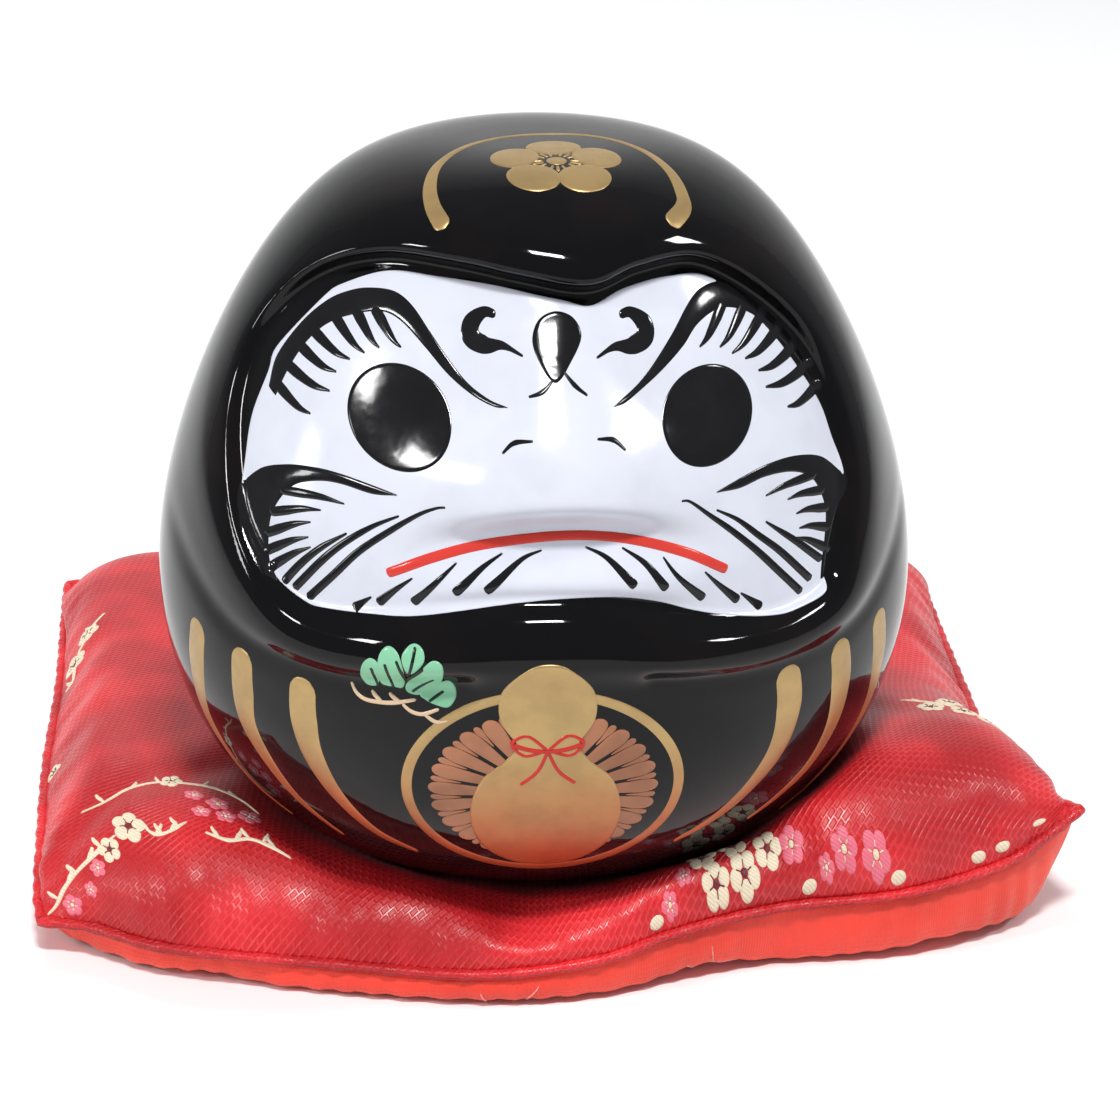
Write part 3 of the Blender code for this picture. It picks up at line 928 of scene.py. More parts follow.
# The seam, in mm about the row's origin: each side of the cushion as (x, y, z), from its left or its front
# end
FRONT_SEAM = (
    (-86, -51, 6), (-77, -54, 6), (-64, -62, 6), (-38, -69, 6), (-12.5, -74.5, 6), (7, -74.5, 8),
    (20, -70, 10),
    (38, -66, 12), (59, -64.5, 13), (77, -59, 15), (87, -54, 18.5), (92, -51, 21),
)
BACK_SEAM = ((-90, 87, 11), (-72, 86, 11), (-40, 82, 10), (0, 80, 9.5), (40, 79, 10), (70, 78, 10),
             (88, 78, 11))
LEFT_SEAM = (
    (-86, -51, 6), (-87, -42, 7.5), (-87.5, -28, 9), (-88.5, 2, 10), (-88.5, 38, 10), (-89.5, 70, 10.5),
    (-90, 87, 11),
)
RIGHT_SEAM = (
    (92, -51, 21), (89.5, -43, 19), (86, -26, 15.5), (85, -8, 13.5), (86, 20, 12), (87, 50, 11),
    (87.5, 66, 11), (88, 78, 11),
)
# How high the filling stands at the front, as (x, z): low to the left of the middle, full to the right
FRONT_CROWN = (
    (-90, 16), (-62, 20), (-36, 18.5), (-15, 17.5), (-4, 18), (6, 20.5), (18, 25), (30, 29), (45, 32),
    (70, 30), (92, 26),
)
BACK_CROWN = 19.5
CLOTH_WIDE, CLOTH_DEEP = 178.0, 144.0  # the panels laid flat, in mm: the cloth's own coordinates
SIM_CELLS = (60, 52)
FINE_CELLS = (210, 176)
EDGE_ROUND = 15.0  # how far in from the seam the top reaches its full height
EDGE_BULGE = 3.2
UNDER_ROUND = (11.0, 9.0)  # how far in the underside meets the table, at the sides and at the front
CLOTH = 0.9
CLEAR = 0.45  # between the cloth and the doll
SEAM_GAP = 0.25
MOST_MOVE = 3.5  # the cap on how far the simulation may move a point


def even_curve(points, shares):
    """A smooth curve through the points, taken at these shares of its length."""
    fine = open_curve(points, 500)
    travelled = np.concatenate([[0], np.cumsum(np.linalg.norm(np.diff(fine, axis=0), axis=1))])
    return np.stack([np.interp(np.asarray(shares) * travelled[-1], travelled, axis) for axis in fine.T], 1)


def cloth_shares(cells):
    """Shares from 0 to 1 that draw together at both ends: t less a sine of one period."""
    t = np.linspace(0, 1, cells + 1)
    return t - 0.085 * np.sin(2 * math.pi * t)


def seam_patch(across, back):
    """The surface stretched between the four seams, by Coons' rule: the two ruled surfaces less the bilinear
    one."""
    front, rear = even_curve(FRONT_SEAM, across), even_curve(BACK_SEAM, across)
    left, right = even_curve(LEFT_SEAM, back), even_curve(RIGHT_SEAM, back)
    s, t = across[:, None, None], back[None, :, None]
    ruled = (1 - t) * front[:, None] + t * rear[:, None] + (1 - s) * left[None] + s * right[None]
    corners = (1 - t) * ((1 - s) * front[0] + s * front[-1]) + t * ((1 - s) * rear[0] + s * rear[-1])
    return ruled - corners


def underside_height(radius):
    """The doll's underside this far from its axis: the belly's curve turned round, cut off at the foot
    ring."""
    share = np.clip(radius / RADIUS, 0, 1)
    return np.maximum(WIDEST - BELLY_DROP * np.sqrt(1 - share**3), FOOT)


def keep_clear(points):
    """The points with their height held under the doll and over the table."""
    held = points.copy()
    radius = np.hypot(points[..., 0], (points[..., 1] - DOLL_Y / MM) / DOLL_DEPTH)
    slope = np.interp(radius, (30, 64), (1.0, 3.4))  # a sloping wall needs more room upwards for the same gap
    ceiling = np.where(radius < RADIUS, underside_height(radius) - CLEAR * slope, 1e3)
    held[..., 2] = np.clip(points[..., 2], 0.0, ceiling)
    return held


def edge_distances(across, back):
    """How far each cell of the cloth is from its nearest side and from its nearest front or back edge, in
    mm."""
    s, t = np.minimum(across, 1 - across)[:, None], np.minimum(back, 1 - back)[None, :]
    return np.broadcast_arrays(s * CLOTH_WIDE, t * CLOTH_DEEP)


def stuffed_top(across, back, crown):
    """The top before it settles: from the seam it bulges out, rounds over like a quarter circle, and runs on
    level."""
    patch = seam_patch(across, back)
    side, end = (np.clip(d / EDGE_ROUND, 0, 1) for d in edge_distances(across, back))
    x, y = patch[..., 0], patch[..., 1]
    forward = smooth_step((12 - y) / 62)
    full = np.interp(x, *np.transpose(FRONT_CROWN)) * forward + BACK_CROWN * (1 - forward)
    rise = (np.sin(side * math.pi / 2) * np.sin(end * math.pi / 2)) ** 0.75
    top = patch.copy()
    top[..., 2] += (full + crown - patch[..., 2]) * rise
    bulge_x = EDGE_BULGE * np.sin(math.pi * np.sqrt(side)) * np.sin(end * math.pi / 2)
    bulge_y = EDGE_BULGE * np.sin(math.pi * np.sqrt(end)) * np.sin(side * math.pi / 2)
    top[..., 0] += np.where(across[:, None] > 0.5, 1, -1) * bulge_x
    top[..., 1] += np.where(back[None, :] > 0.5, 1, -1) * bulge_y
    return keep_clear(top)


def stuffed_base(across, back):
    """The underside before it settles: flat on the table, curving up to the seam like a quarter ellipse."""
    patch = seam_patch(across, back)
    side, end = edge_distances(across, back)
    flat = [np.sqrt(1 - (1 - np.clip(d / reach, 0, 1)) ** 2) for d, reach in zip((side, end), UNDER_ROUND)]
    patch[..., 2] *= 1 - flat[0] * flat[1]
    return patch


def quads(index):
    """The quads of a grid of point numbers."""
    return np.stack([index[:-1, :-1], index[1:, :-1], index[1:, 1:], index[:-1, 1:]], -1).reshape(-1, 4)


def ring_of(grid):
    """The rim of a grid, once round: front edge, right, back, left."""
    return np.concatenate([grid[:-1, 0], grid[-1, :-1], grid[:0:-1, -1], grid[0, :0:-1]])


def settle(top, base, pressure):
    """The two panels after the filling has swelled them: Blender's cloth, its seam held, over the table and
    the doll.

    It runs ten times larger than life, because the solver's smallest distances suit that, and no point may
    move
    further than MOST_MOVE.
    """
    scale = 10 * MM
    rows, columns = top.shape[:2]
    numbers = np.arange(rows * columns).reshape(rows, columns)
    under = numbers.copy()
    under[1:-1, 1:-1] = rows * columns + np.arange((rows - 2) * (columns - 2)).reshape(rows - 2, columns - 2)
    start = np.vstack([top.reshape(-1, 3), base[1:-1, 1:-1].reshape(-1, 3)])
    cloth = plain_object("cloth_work", start * scale, [quads(numbers), quads(under)[:, ::-1]])
    held = cloth.vertex_groups.new(name="seam")
    held.add(ring_of(numbers).tolist(), 1.0, "REPLACE")

    levels = np.linspace(FOOT, 90, 40)
    turn = np.arange(72) / 72 * 2 * math.pi
    radius = body_radius(levels)[:, None]
    x, y = radius * np.sin(turn), DOLL_DEPTH * -radius * np.cos(turn)
    around = np.stack(np.broadcast_arrays(x, y, levels[:, None]), -1) + (0, DOLL_Y / MM, 0)
    doll = plain_object("doll_work", around * scale,
                        [grid_faces(40, 72, closed=True), np.arange(72)[None, ::-1]])
    corners = np.array([(x, y, 0.0) for x in (-2.5, 2.5) for y in (-2.5, 2.5)])
    table = plain_object("table_work", corners, [np.array([(0, 2, 3, 1)])])
    for solid in (doll, table):
        solid.modifiers.new("solid", "COLLISION")
        solid.collision.thickness_outer = 0.004
        solid.collision.cloth_friction = 12.0

    modifier = cloth.modifiers.new("cloth", "CLOTH")
    settings = modifier.settings
    settings.quality = 6
    settings.mass = 0.35
    settings.tension_stiffness = 18.0
    settings.compression_stiffness = 18.0
    settings.shear_stiffness = 6.0
    settings.bending_stiffness = 0.6
    settings.tension_damping = 8.0
    settings.compression_damping = 8.0
    settings.shrink_min = -0.035
    settings.vertex_group_mass = "seam"
    settings.use_pressure = True
    settings.uniform_pressure_force = pressure
    settings.effector_weights.gravity = 0.0
    modifier.collision_settings.distance_min = 0.004
    modifier.collision_settings.collision_quality = 3
    scene = bpy.context.scene
    modifier.point_cache.frame_start, modifier.point_cache.frame_end = 1, 20
    for number in range(1, 21):
        scene.frame_set(number)
    mesh = cloth.evaluated_get(bpy.context.evaluated_depsgraph_get()).to_mesh()
    settled = np.empty(len(mesh.vertices) * 3)
    mesh.vertices.foreach_get("co", settled)
    settled = settled.reshape(-1, 3) / scale
    for work in (cloth, doll, table):
        bpy.data.objects.remove(work, do_unlink=True)
    scene.frame_set(1)
    moved = settled - start
    length = np.linalg.norm(moved, axis=1, keepdims=True)
    print("cushion moved", round(float(length.mean()), 2), "mm on average,", round(float(length.max()), 2),
          "at most")
    settled = start + moved * np.minimum(1, MOST_MOVE / np.maximum(length, 1e-9))
    return settled[numbers], settled[under]


def finer(grid, rows, columns):
    """The grid again with more points, on a smooth surface through its own: one spline each way."""
    along = open_curve(grid.reshape(len(grid), -1), rows).reshape(rows, grid.shape[1], 3)
    return open_curve(along.transpose(1, 0, 2).reshape(grid.shape[1], -1), columns).reshape(columns, rows,
    3).transpose(1, 0, 2)


def relaxed(grid, rounds=3):
    """The grid with each inner point moved to the average of its four neighbours and itself, a few times
    over."""
    for _ in range(rounds):
        grid = grid.copy()
        around = grid[:-2, 1:-1] + grid[2:, 1:-1] + grid[1:-1, :-2] + grid[1:-1, 2:]
        grid[1:-1, 1:-1] = grid[1:-1, 1:-1] * 0.5 + around * 0.125
    return grid


def grid_normals(grid, up):
    """Unit normals of a grid from its slopes each way; up is 1 for a top and -1 for an underside."""
    normal = np.cross(np.gradient(grid, axis=0), np.gradient(grid, axis=1))
    return up * normal / np.maximum(np.linalg.norm(normal, axis=-1, keepdims=True), 1e-12)


def puckered(grid, across, back, up):
    """Small gathers where the cloth is sewn: ripples across the seam, about 5 mm apart, that fade within 12
    mm."""
    side, end = edge_distances(across, back)
    a, b = across[:, None] * CLOTH_WIDE, back[None, :] * CLOTH_DEEP
    fade_end, fade_side = (np.exp(-((away / 6.5) ** 2)) * smooth_step(away / 1.5) for away in (end, side))
    ripple_end = np.sin(a * 1.21 + 1.3 * np.sin(a * 0.23)) * fade_end
    ripple_side = np.sin(b * 1.17 + 1.1 * np.sin(b * 0.27)) * fade_side
    return grid + grid_normals(grid, up) * (0.22 * (ripple_end + ripple_side))[..., None]


def cloth_piece(name, outer, across, back, up, finish):
    """A closed slab of cloth: the outer grid, the same moved in by the cloth's thickness, and a strip round
    the rim."""
    inner = outer - grid_normals(outer, up) * CLOTH
    rows, columns = outer.shape[:2]
    numbers = np.arange(rows * columns).reshape(rows, columns)
    out, within = ring_of(numbers), ring_of(numbers) + rows * columns
    strip = np.stack([out, np.roll(out, -1), np.roll(within, -1), within], -1)
    faces = [quads(numbers), quads(numbers)[:, ::-1] + rows * columns, strip[:, ::-1]]
    if up < 0:
        faces = [block[:, ::-1] for block in faces]
    flat = np.stack(np.broadcast_arrays(across[:, None] * CLOTH_WIDE, back[None, :] * CLOTH_DEEP),
                    -1).reshape(-1, 2)
    points = np.vstack([outer.reshape(-1, 3), inner.reshape(-1, 3)])
    return add_piece(name, points * MM, faces, "cushion", finish, np.vstack([flat, flat]))


def cloth_chart(grid, across, back):
    """A chart of a cloth: the point at a place in its own flat coordinates, in mm, bilinear between the
    grid's."""

    def chart(places):
        a, b = np.moveaxis(np.asarray(places, float), -1, 0)
        i = np.clip(np.interp(a / CLOTH_WIDE, across, np.arange(len(across))), 0, len(across) - 1.001)
        j = np.clip(np.interp(b / CLOTH_DEEP, back, np.arange(len(back))), 0, len(back) - 1.001)
        i0, j0 = i.astype(int), j.astype(int)
        u, v = (i - i0)[..., None], (j - j0)[..., None]
        low = grid[i0, j0] * (1 - u) + grid[i0 + 1, j0] * u
        high = grid[i0, j0 + 1] * (1 - u) + grid[i0 + 1, j0 + 1] * u
        return low * (1 - v) + high * v

    return chart


def seam_band(name, ring, finish):
    """The folded edge: a flattened round section carried along the closed seam, a little uneven like hand
    sewing."""
    count = len(ring)
    along = np.roll(ring, -1, axis=0) - np.roll(ring, 1, axis=0)
    length = np.linalg.norm(along, axis=1, keepdims=True)
    travelled = np.concatenate([[0], np.cumsum(length[:-1, 0] / 2)])
    along /= np.maximum(length, 1e-9)
    out = np.cross(along, (0.0, 0.0, 1.0))
    out /= np.linalg.norm(out, axis=1, keepdims=True)
    up = np.cross(out, along)
    angle = np.linspace(0, 2 * math.pi, 14, endpoint=False)
    swell = 1 + 0.09 * np.sin(travelled * 1.45) + 0.05 * np.sin(travelled * 0.61 + 1)
    shape = (np.cos(angle) * 1.0 + 0.35, np.sin(angle) * 0.85)
    points = ring[:, None] + out[:, None] * (shape[0] * swell[:, None])[..., None] + up[:,
    None] * (shape[1] * swell[:, None])[..., None]
    index = np.arange(count * 14).reshape(count, 14)
    following = np.roll(index, -1, axis=0)
    faces = np.stack([index, following, np.roll(following, -1, axis=1), np.roll(index, -1, axis=1)],
                     -1).reshape(-1, 4)
    flat = np.stack(np.broadcast_arrays(travelled[:, None], angle[None] * 1.0), -1).reshape(-1, 2)
    return add_piece(name, points * MM, [faces], "cushion", finish, flat)


# Woven motifs, in the top cloth's own coordinates (mm from its left end and from its front edge)
PLUM_BLOSSOMS = (((17.8, 13.8), 3.3, 10), ((14.0, 9.6), 2.1, 40), ((25.7, 29.4), 2.5, 70))
PLUM_BRANCHES = (
    ((1.2, 0.9), (5.3, 4.7), (8.0, 6.9), (11.4, 8.9), (15.5, 12.0)),
    ((8.9, 20.6), (12.5, 23.0), (17.2, 27.2), (23.4, 29.0), (31.5, 28.1), (37.1, 25.4), (40.5, 20.6)),
    ((20.5, 13.8), (22.5, 12.4), (25.0, 13.0), (28.1, 15.1)),
    ((30.7, 13.2), (34.3, 12.3), (38.0, 13.0), (41.0, 12.3), (44.5, 10.8)),
)
PINK_BLOOMS = (
    ((29.8, 23.8), 1.9, 0), ((33.6, 21.6), 2.2, 30), ((34.6, 17.8), 1.9, 10), ((38.6, 18.8), 2.2, 50),
    ((30.6, 18.4), 1.8, 20),
    ((5.9, 2.4), 1.7, 20), ((9.6, 4.2), 1.2, 0), ((11.6, 7.0), 1.4, 30),
)
RIGHT_BLOSSOMS = (
    ((112.0, 6.6), 2.7, 5), ((117.2, 7.2), 2.6, 35), ((113.4, 2.6), 2.5, 20), ((118.2, 3.1), 2.7, 55),
    ((122.6, 5.2), 2.6, 0),
)
RIGHT_PINKS = (
    ((126.6, 4.9), 2.3, 15), ((105.6, 2.0), 1.5, 40), ((134.9, 3.6), 2.3, 10), ((139.8, 3.0), 2.5, 50),
    ((131.6, 2.2), 1.4, 0),
    ((108.4, 4.4), 1.4, 25),
)
SEAM_BUDS = ((103.0, 1.0), (128.4, 1.0), (143.0, 1.0), (157.5, 1.1), (162.0, 1.4), (169.6, 2.4))
BACK_BLOSSOMS = (
    ((160.2, 34.7), 2.9, 10), ((164.6, 38.2), 2.5, 40), ((165.4, 32.4), 2.4, 70), ((168.4, 28.6), 2.2, 5),
    ((3.9, 90.5), 2.8, 25),
    ((7.4, 96.4), 2.4, 50), ((1.6, 47.6), 1.7, 0), ((150, 118), 3.4, 15), ((90, 132), 3.2, 0),
    ((98, 130), 2.8, 35),
    ((44, 134), 2.8, 20),
)
BACK_BRANCHES = (
    ((172, 24), (168, 30), (163, 36), (156, 41)), ((2, 82), (4, 88), (6, 94), (11, 101)),
    ((140, 112), (148, 117), (158, 116), (166, 108)), ((80, 134), (90, 131), (104, 129), (112, 133)),
)


def blossom(cream, heart, centre, size, turn):
    """Five round petals about a ringed heart, with a stamen between each two."""
    centre = np.asarray(centre, float)
    for petal in range(5):
        angle = math.radians(turn + 72 * petal)
        way = np.array((math.cos(angle), math.sin(angle)))
        cream.disc(centre + 0.57 * size * way, 0.41 * size, 0.38 * size, 28, 6, math.degrees(angle) + 90)
        lean = angle + math.radians(36)
        out = np.array((math.cos(lean), math.sin(lean)))
        heart.stroke((centre + 0.22 * size * out, centre + 0.52 * size * out), (0.18, 0.30), 8, 5)
    heart.disc(centre, 0.2 * size, 0.2 * size, 24, 4)


def build_motifs(chart, cream_finish, pink_finish, dark_finish):
    """The blossoms, branches and buds woven into the top, in cream and pink thread with dark hearts."""
    cream, pink, dark = Paint(chart, 0.22), Paint(chart, 0.20), Paint(chart, 0.26)
    for place in (*PLUM_BLOSSOMS, *RIGHT_BLOSSOMS, *BACK_BLOSSOMS):
        blossom(cream, dark, *place)
    for place in (*PINK_BLOOMS, *RIGHT_PINKS):
        blossom(pink, cream, *place)
    for branch in (*PLUM_BRANCHES, *BACK_BRANCHES):
        cream.stroke(branch, (0.35, 0.8, 0.6, 0.8, 0.3), 50, 7)
        curve = open_curve(branch, 7)
        for number, at in enumerate(curve[1:-1]):
            side = 1 if number % 2 else -1
            cream.stroke((at, at + (0.9 * side, 1.3), at + (1.2 * side, 2.1)), (0.4, 0.9, 0.5), 12, 5)
    for bud in SEAM_BUDS:
        cream.disc(bud, 1.3, 0.55, 24, 5, 4)
    cream.piece("cream_motifs", cream_finish, "brocade", "cushion", on_row)
    pink.piece("pink_motifs", pink_finish, "brocade", "cushion", on_row)
    dark.piece("motif_hearts", dark_finish, "brocade", "cushion", on_row)


STRAY_THREADS = (
    ((74, 1.5), (75.5, 4.0), (73.5, 6.5), (75.0, 8.5)), ((108, 2.5), (111, 5.0), (116, 4.0), (120, 6.5)),
    ((112, 1.0), (113.5, 5.5), (112.5, 9.0)), ((83, 1.0), (81.5, 3.5), (84.0, 5.5)),
)


def build_stray_threads(chart, finish):
    """A few loose sewing threads that cling to the underside along the front seam, laid flat on it.

    The chart is read mirrored, so that its normals point out of the underside.
    """
    threads = Paint(lambda places: chart(places * np.array((-1, 1))), 0.20, 0.02)
    for places in STRAY_THREADS:
        threads.stroke([(-a, b) for a, b in places], (0.24, 0.24), 24, 5)
    threads.piece("stray_threads", finish, "lining", "cushion", on_row)


def on_row(points):
    """Millimetres about the row's origin as metres."""
    return np.asarray(points, float) * MM


def build_cushion(ground, thread, lining, crown, pressure):
    """The stuffed cushion: its two panels, swelled by the filling, the folded seam and the wadding."""
    across, back = cloth_shares(SIM_CELLS[0]), cloth_shares(SIM_CELLS[1])
    top, base = stuffed_top(across, back, crown), stuffed_base(across, back)
    top, base = (relaxed(panel) for panel in settle(top, base, pressure))
    rows, columns = FINE_CELLS[0] + 1, FINE_CELLS[1] + 1
    steps = (np.linspace(0, SIM_CELLS[0], rows), np.linspace(0, SIM_CELLS[1], columns))
    fine_across = np.interp(steps[0], np.arange(SIM_CELLS[0] + 1), across)
    fine_back = np.interp(steps[1], np.arange(SIM_CELLS[1] + 1), back)
    top, base = finer(top, rows, columns), finer(base, rows, columns)
    ring = ring_of(top)
    top = keep_clear(puckered(top, fine_across, fine_back, 1))
    base = puckered(base, fine_across, fine_back, -1)
    base[..., 2] = np.maximum(base[..., 2], 0)
    top[..., 2] += SEAM_GAP
    base[..., 2] = np.maximum(base[..., 2] - SEAM_GAP, 0)
    brocade = brocade_finish(ground, thread)
    panel = cloth_piece("cushion_top", top, fine_across, fine_back, 1, brocade)
    lined = lining_finish(lining)
    under = cloth_piece("cushion_underside", base, fine_across, fine_back, -1, lined)
    band = seam_band("cushion_seam", ring, brocade)
    inside = slice(15, -15, 6)
    low, high = base[inside, inside] + (0, 0, CLOTH + 0.5), top[inside, inside] - (0, 0, CLOTH + 1.4)
    high[..., 2] = np.maximum(high[..., 2], low[..., 2] + 1.0)
    numbers = np.arange(high.shape[0] * high.shape[1]).reshape(high.shape[:2])
    out, within = ring_of(numbers), ring_of(numbers) + numbers.size
    strip = np.stack([out, np.roll(out, -1), np.roll(within, -1), within], -1)[:, ::-1]
    faces = [quads(numbers), quads(numbers)[:, ::-1] + numbers.size, strip]
    filling = add_piece("cushion_filling", np.vstack([high.reshape(-1, 3), low.reshape(-1, 3)]) * MM, faces,
                        "cushion",
                        wadding_finish())
    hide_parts("cushion_top_panel")
    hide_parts("cushion_base_panel")
    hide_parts("cushion_wadding")
    return cloth_chart(top, fine_across, fine_back), cloth_chart(base, fine_across, fine_back)


# ---------------------------------------------------------------- stage and camera

CAMERA_ELEVATION = 22.0
CAMERA_AZIMUTH = -4.0
LENS = 103.2
SENSOR = 36.0
CAMERA_SHIFT = (0.0232, -0.0071)
SKY = (0.86, 0.87, 0.90, 1.0)
SKY_STRENGTH = 0.34


def area_light(name, place, target, size, power, colour=(1.0, 1.0, 1.0)):
    """A soft rectangular light aimed at a point."""
    data = bpy.data.lights.new(name, "AREA")
    data.shape = "RECTANGLE"
    data.size, data.size_y = size
    data.energy = power
    data.color = colour
    light = bpy.data.objects.new(name, data)
    light.location = place
    light.rotation_euler = (Vector(target) - Vector(place)).to_track_quat("-Z", "Y").to_euler()
    bpy.context.scene.collection.objects.link(light)
    return light


def build_stage(power, floor_colour, distance):
    """A pale floor that curves up behind, three soft lights, and the camera."""
    profile = [(-1.6, 0.0), (1.0, 0.0)]
    bend = [(1.0 + 0.5 * math.sin(a), 0.5 - 0.5 * math.cos(a)) for a in np.linspace(0, math.pi / 2, 14)[1:]]
    profile = np.array(profile + bend + [(1.5, 2.2)])
    width = np.array((-2.2, 2.2))
    points = np.stack(np.broadcast_arrays(width[None, :], profile[:, :1], profile[:, 1:]), -1)
    finish = Finish("pale_backdrop", floor_colour, roughness=0.65)
    mesh = bpy.data.meshes.new("stage_floor")
    faces = grid_faces(len(profile), 2)
    mesh.from_pydata(points.reshape(-1, 3).tolist(), [], [tuple(f) for f in faces.tolist()])
    mesh.shade_smooth()
    mesh.materials.append(finish.material)
    floor = bpy.data.objects.new("stage_floor", mesh)
    bpy.context.scene.collection.objects.link(floor)

    focus = (0.0, DOLL_Y, 0.06)
    area_light("key_light", (0.02, -0.62, 1.30), focus, (0.26, 0.12), 15 * power)
    area_light("left_light", (-1.15, -0.55, 0.90), focus, (0.16, 0.16), 5 * power)
    area_light("side_light", (-1.25, -0.30, 0.42), focus, (0.12, 0.20), 2 * power)
    area_light("right_light", (1.10, -0.20, 1.05), focus, (0.16, 0.16), 5 * power)
    back_light = area_light("back_light", (-0.30, 0.95, 1.10), focus, (0.30, 0.16), 5 * power)
    back_light.visible_glossy = False
    world = bpy.data.worlds.new("studio")
    world.use_nodes = True
    background = world.node_tree.nodes["Background"]
    background.inputs["Color"].default_value = SKY
    background.inputs["Strength"].default_value = SKY_STRENGTH
    bpy.context.scene.world = world
    bpy.context.scene.view_settings.view_transform = "Standard"

    azimuth, elevation = math.radians(CAMERA_AZIMUTH), math.radians(CAMERA_ELEVATION)
    level = math.cos(elevation)
    back = Vector((math.sin(azimuth) * level, -math.cos(azimuth) * level, math.sin(elevation)))
    data = bpy.data.cameras.new("camera")
    data.lens, data.sensor_width = LENS, SENSOR
    data.shift_x, data.shift_y = CAMERA_SHIFT
    camera = bpy.data.objects.new("camera", data)
    camera.location = Vector((0.0, DOLL_Y, 0.060)) + back * distance
    camera.rotation_euler = (-back).to_track_quat("-Z", "Y").to_euler()
    bpy.context.scene.collection.objects.link(camera)
    bpy.context.scene.camera = camera


# ---------------------------------------------------------------- settings, operators and panel


class DarumaDollSettings(PropertyGroup):
    """The doll's colours and gloss."""

    gloss: FloatProperty(name="Glaze gloss", description="How strong the glaze's clear coat is", default=1.0,
                         min=0, max=1)
    white: FloatVectorProperty(
        name="Face white", description="Colour of the face enamel", subtype="COLOR", size=3, min=0, max=1,
        default=(0.62, 0.64, 0.72),
    )
    red: FloatVectorProperty(
        name="Mouth red", description="Colour of the mouth line", subtype="COLOR", size=3, min=0, max=1,
        default=(0.60, 0.046, 0.034),
    )
    gold: FloatVectorProperty(
        name="Gold", description="Colour of the gold lustre", subtype="COLOR", size=3, min=0, max=1,
        default=(0.46, 0.31, 0.13),
    )
    green: FloatVectorProperty(
        name="Pine green", description="Colour of the pine spray", subtype="COLOR", size=3, min=0, max=1,
        default=(0.22, 0.52, 0.32),
    )
    paint_height: FloatProperty(
        name="Paint height", description="How far the black strokes stand up", subtype="DISTANCE",
        default=0.24 * MM,
        min=0.05 * MM, max=0.6 * MM,
    )


class DarumaCushionSettings(PropertyGroup):
    """The cushion's colours and filling."""

    ground: FloatVectorProperty(
        name="Brocade ground", description="Deep red of the brocade", subtype="COLOR", size=3, min=0, max=1,
        default=(0.42, 0.004, 0.008),
    )
    thread: FloatVectorProperty(
        name="Brocade thread", description="Pinkish red of the raised threads", subtype="COLOR", size=3,
        min=0, max=1,
        default=(0.85, 0.045, 0.055),
    )
    lining: FloatVectorProperty(
        name="Lining", description="Orange red of the underside", subtype="COLOR", size=3, min=0, max=1,
        default=(0.88, 0.042, 0.020),
    )
    cream: FloatVectorProperty(
        name="Cream thread", description="Colour of the blossoms", subtype="COLOR", size=3, min=0, max=1,
        default=(0.86, 0.74, 0.54),
    )
    pink: FloatVectorProperty(
        name="Pink thread", description="Colour of the small blooms", subtype="COLOR", size=3, min=0, max=1,
        default=(0.85, 0.17, 0.24),
    )
    crown: FloatProperty(
        name="Extra crown", description="How much higher the filling stands than its usual height",
        subtype="DISTANCE",
        default=0.0, min=-5 * MM, max=5 * MM,
    )
    pressure: FloatProperty(name="Filling pressure", description="How hard the filling swells the cloth",
                            default=4.0, min=0)


class DarumaStageSettings(PropertyGroup):
    """The floor, the lights and the camera."""

    power: FloatProperty(name="Light power", description="Factor on all the lights", default=1.0, min=0)
    floor: FloatVectorProperty(
        name="Floor", description="Colour of the floor", subtype="COLOR", size=3, min=0, max=1,
        default=(0.90, 0.90, 0.90),
    )
    distance: FloatProperty(
        name="Camera distance", description="From the doll's middle to the camera", subtype="DISTANCE",
        default=0.560, min=0.2,
    )


class DARUMA_OT_shell(Operator):
    """Builds the black glazed casting"""

    bl_idname = "daruma.shell"
    bl_label = "Glazed shell"

    def execute(self, context):
        build_shell(context.scene.daruma_doll.gloss)
        return {"FINISHED"}


class DARUMA_OT_face(Operator):
    """Lays the white enamel over the sunk face, and the red mouth line"""

    bl_idname = "daruma.face"
    bl_label = "White face and mouth"

    def execute(self, context):
        doll = context.scene.daruma_doll
        build_face(tuple(doll.white))
        build_mouth(tuple(doll.red))
        return {"FINISHED"}


class DARUMA_OT_features(Operator):
    """Paints the brows, eyes, moustaches, beard and the marks on the forehead"""

    bl_idname = "daruma.features"
    bl_label = "Brows, eyes and beard"

    def execute(self, context):
        build_features(context.scene.daruma_doll.paint_height / MM)
        return {"FINISHED"}


class DARUMA_OT_gold(Operator):
    """Paints the gold: side strokes, crown arc and blossom, and the belly's medallion"""

    bl_idname = "daruma.gold"
    bl_label = "Gold painting"

    def execute(self, context):
        gold = gold_finish(tuple(context.scene.daruma_doll.gold))
        build_gold(gold)
        build_medallion(gold, enamel_finish("copper_lustre", (0.40, 0.165, 0.085), 0.62, 0.30))
        return {"FINISHED"}


class DARUMA_OT_pine(Operator):
    """Paints the spray of pine at the medallion's shoulder"""

    bl_idname = "daruma.pine"
    bl_label = "Pine spray"

    def execute(self, context):
        build_pine(tuple(context.scene.daruma_doll.green))
        return {"FINISHED"}


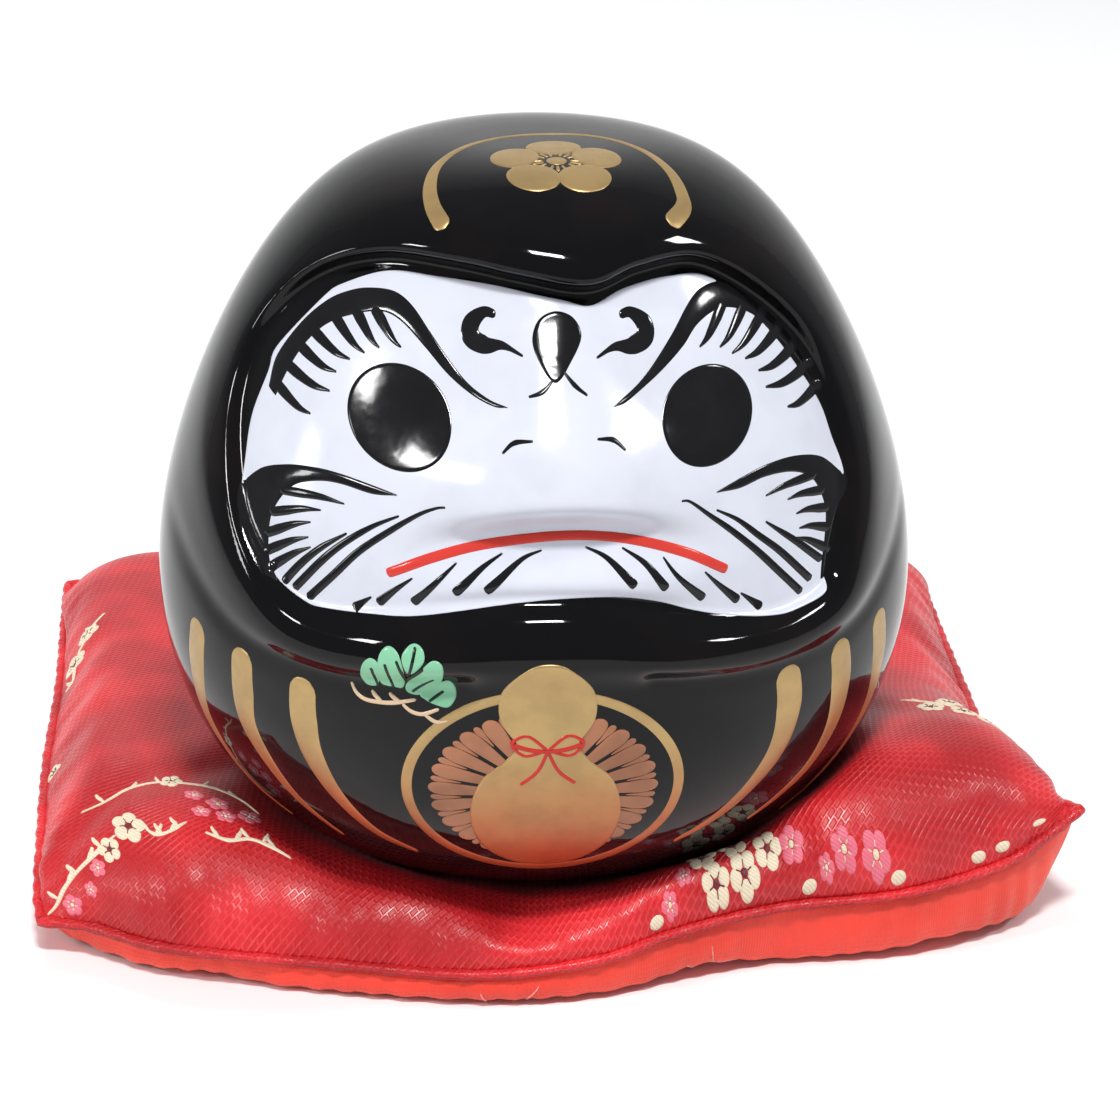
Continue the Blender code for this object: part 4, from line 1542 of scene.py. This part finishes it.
class DARUMA_OT_cushion(Operator):
    """Sews and fills the brocade cushion, with its woven motifs"""

    bl_idname = "daruma.cushion"
    bl_label = "Brocade cushion"

    def execute(self, context):
        cushion = context.scene.daruma_cushion
        top, under = build_cushion(
            tuple(cushion.ground), tuple(cushion.thread), tuple(cushion.lining), cushion.crown / MM,
            cushion.pressure
        )
        build_motifs(
            top, thread_finish("cream_thread", tuple(cushion.cream)),
            thread_finish("pink_thread", tuple(cushion.pink)),
            thread_finish("wine_thread", (0.16, 0.010, 0.020)),
        )
        build_stray_threads(under, thread_finish("loose_thread", (0.90, 0.32, 0.28)))
        return {"FINISHED"}


class DARUMA_OT_stage(Operator):
    """Sets up the floor, the lights and the camera"""

    bl_idname = "daruma.stage"
    bl_label = "Stage"

    def execute(self, context):
        stage = context.scene.daruma_stage
        build_stage(stage.power, tuple(stage.floor), stage.distance)
        return {"FINISHED"}


class DARUMA_PT_builder(Panel):
    """Lists the pieces to build and their settings"""

    bl_label = "Daruma Doll"
    bl_space_type = "VIEW_3D"
    bl_region_type = "UI"
    bl_category = "Daruma"

    def draw(self, context):
        for group, operators in GROUPS:
            box = self.layout.box()
            settings = getattr(context.scene, group)
            for name in settings.__annotations__:
                box.prop(settings, name)
            for operator in operators:
                box.operator(operator.bl_idname)


GROUPS = (
    ("daruma_doll", (DARUMA_OT_shell, DARUMA_OT_face, DARUMA_OT_features, DARUMA_OT_gold, DARUMA_OT_pine)),
    ("daruma_cushion", (DARUMA_OT_cushion,)),
    ("daruma_stage", (DARUMA_OT_stage,)),
)
SETTINGS = {
    "daruma_doll": DarumaDollSettings, "daruma_cushion": DarumaCushionSettings,
    "daruma_stage": DarumaStageSettings,
}
CLASSES = (*SETTINGS.values(), *(operator for _, operators in GROUPS for operator in operators),
           DARUMA_PT_builder)


def register():
    """Registers the settings, the operators and the panel."""
    for made in CLASSES:
        bpy.utils.register_class(made)
    for name, settings in SETTINGS.items():
        setattr(bpy.types.Scene, name, PointerProperty(type=settings))


def unregister():
    """Takes them out again."""
    for name in SETTINGS:
        delattr(bpy.types.Scene, name)
    for made in reversed(CLASSES):
        bpy.utils.unregister_class(made)


def main():
    register()
    for build in (
        bpy.ops.daruma.shell, bpy.ops.daruma.face, bpy.ops.daruma.features, bpy.ops.daruma.gold,
        bpy.ops.daruma.pine,
        bpy.ops.daruma.cushion, bpy.ops.daruma.stage,
    ):
        build()


if __name__ == "__main__":
    main()
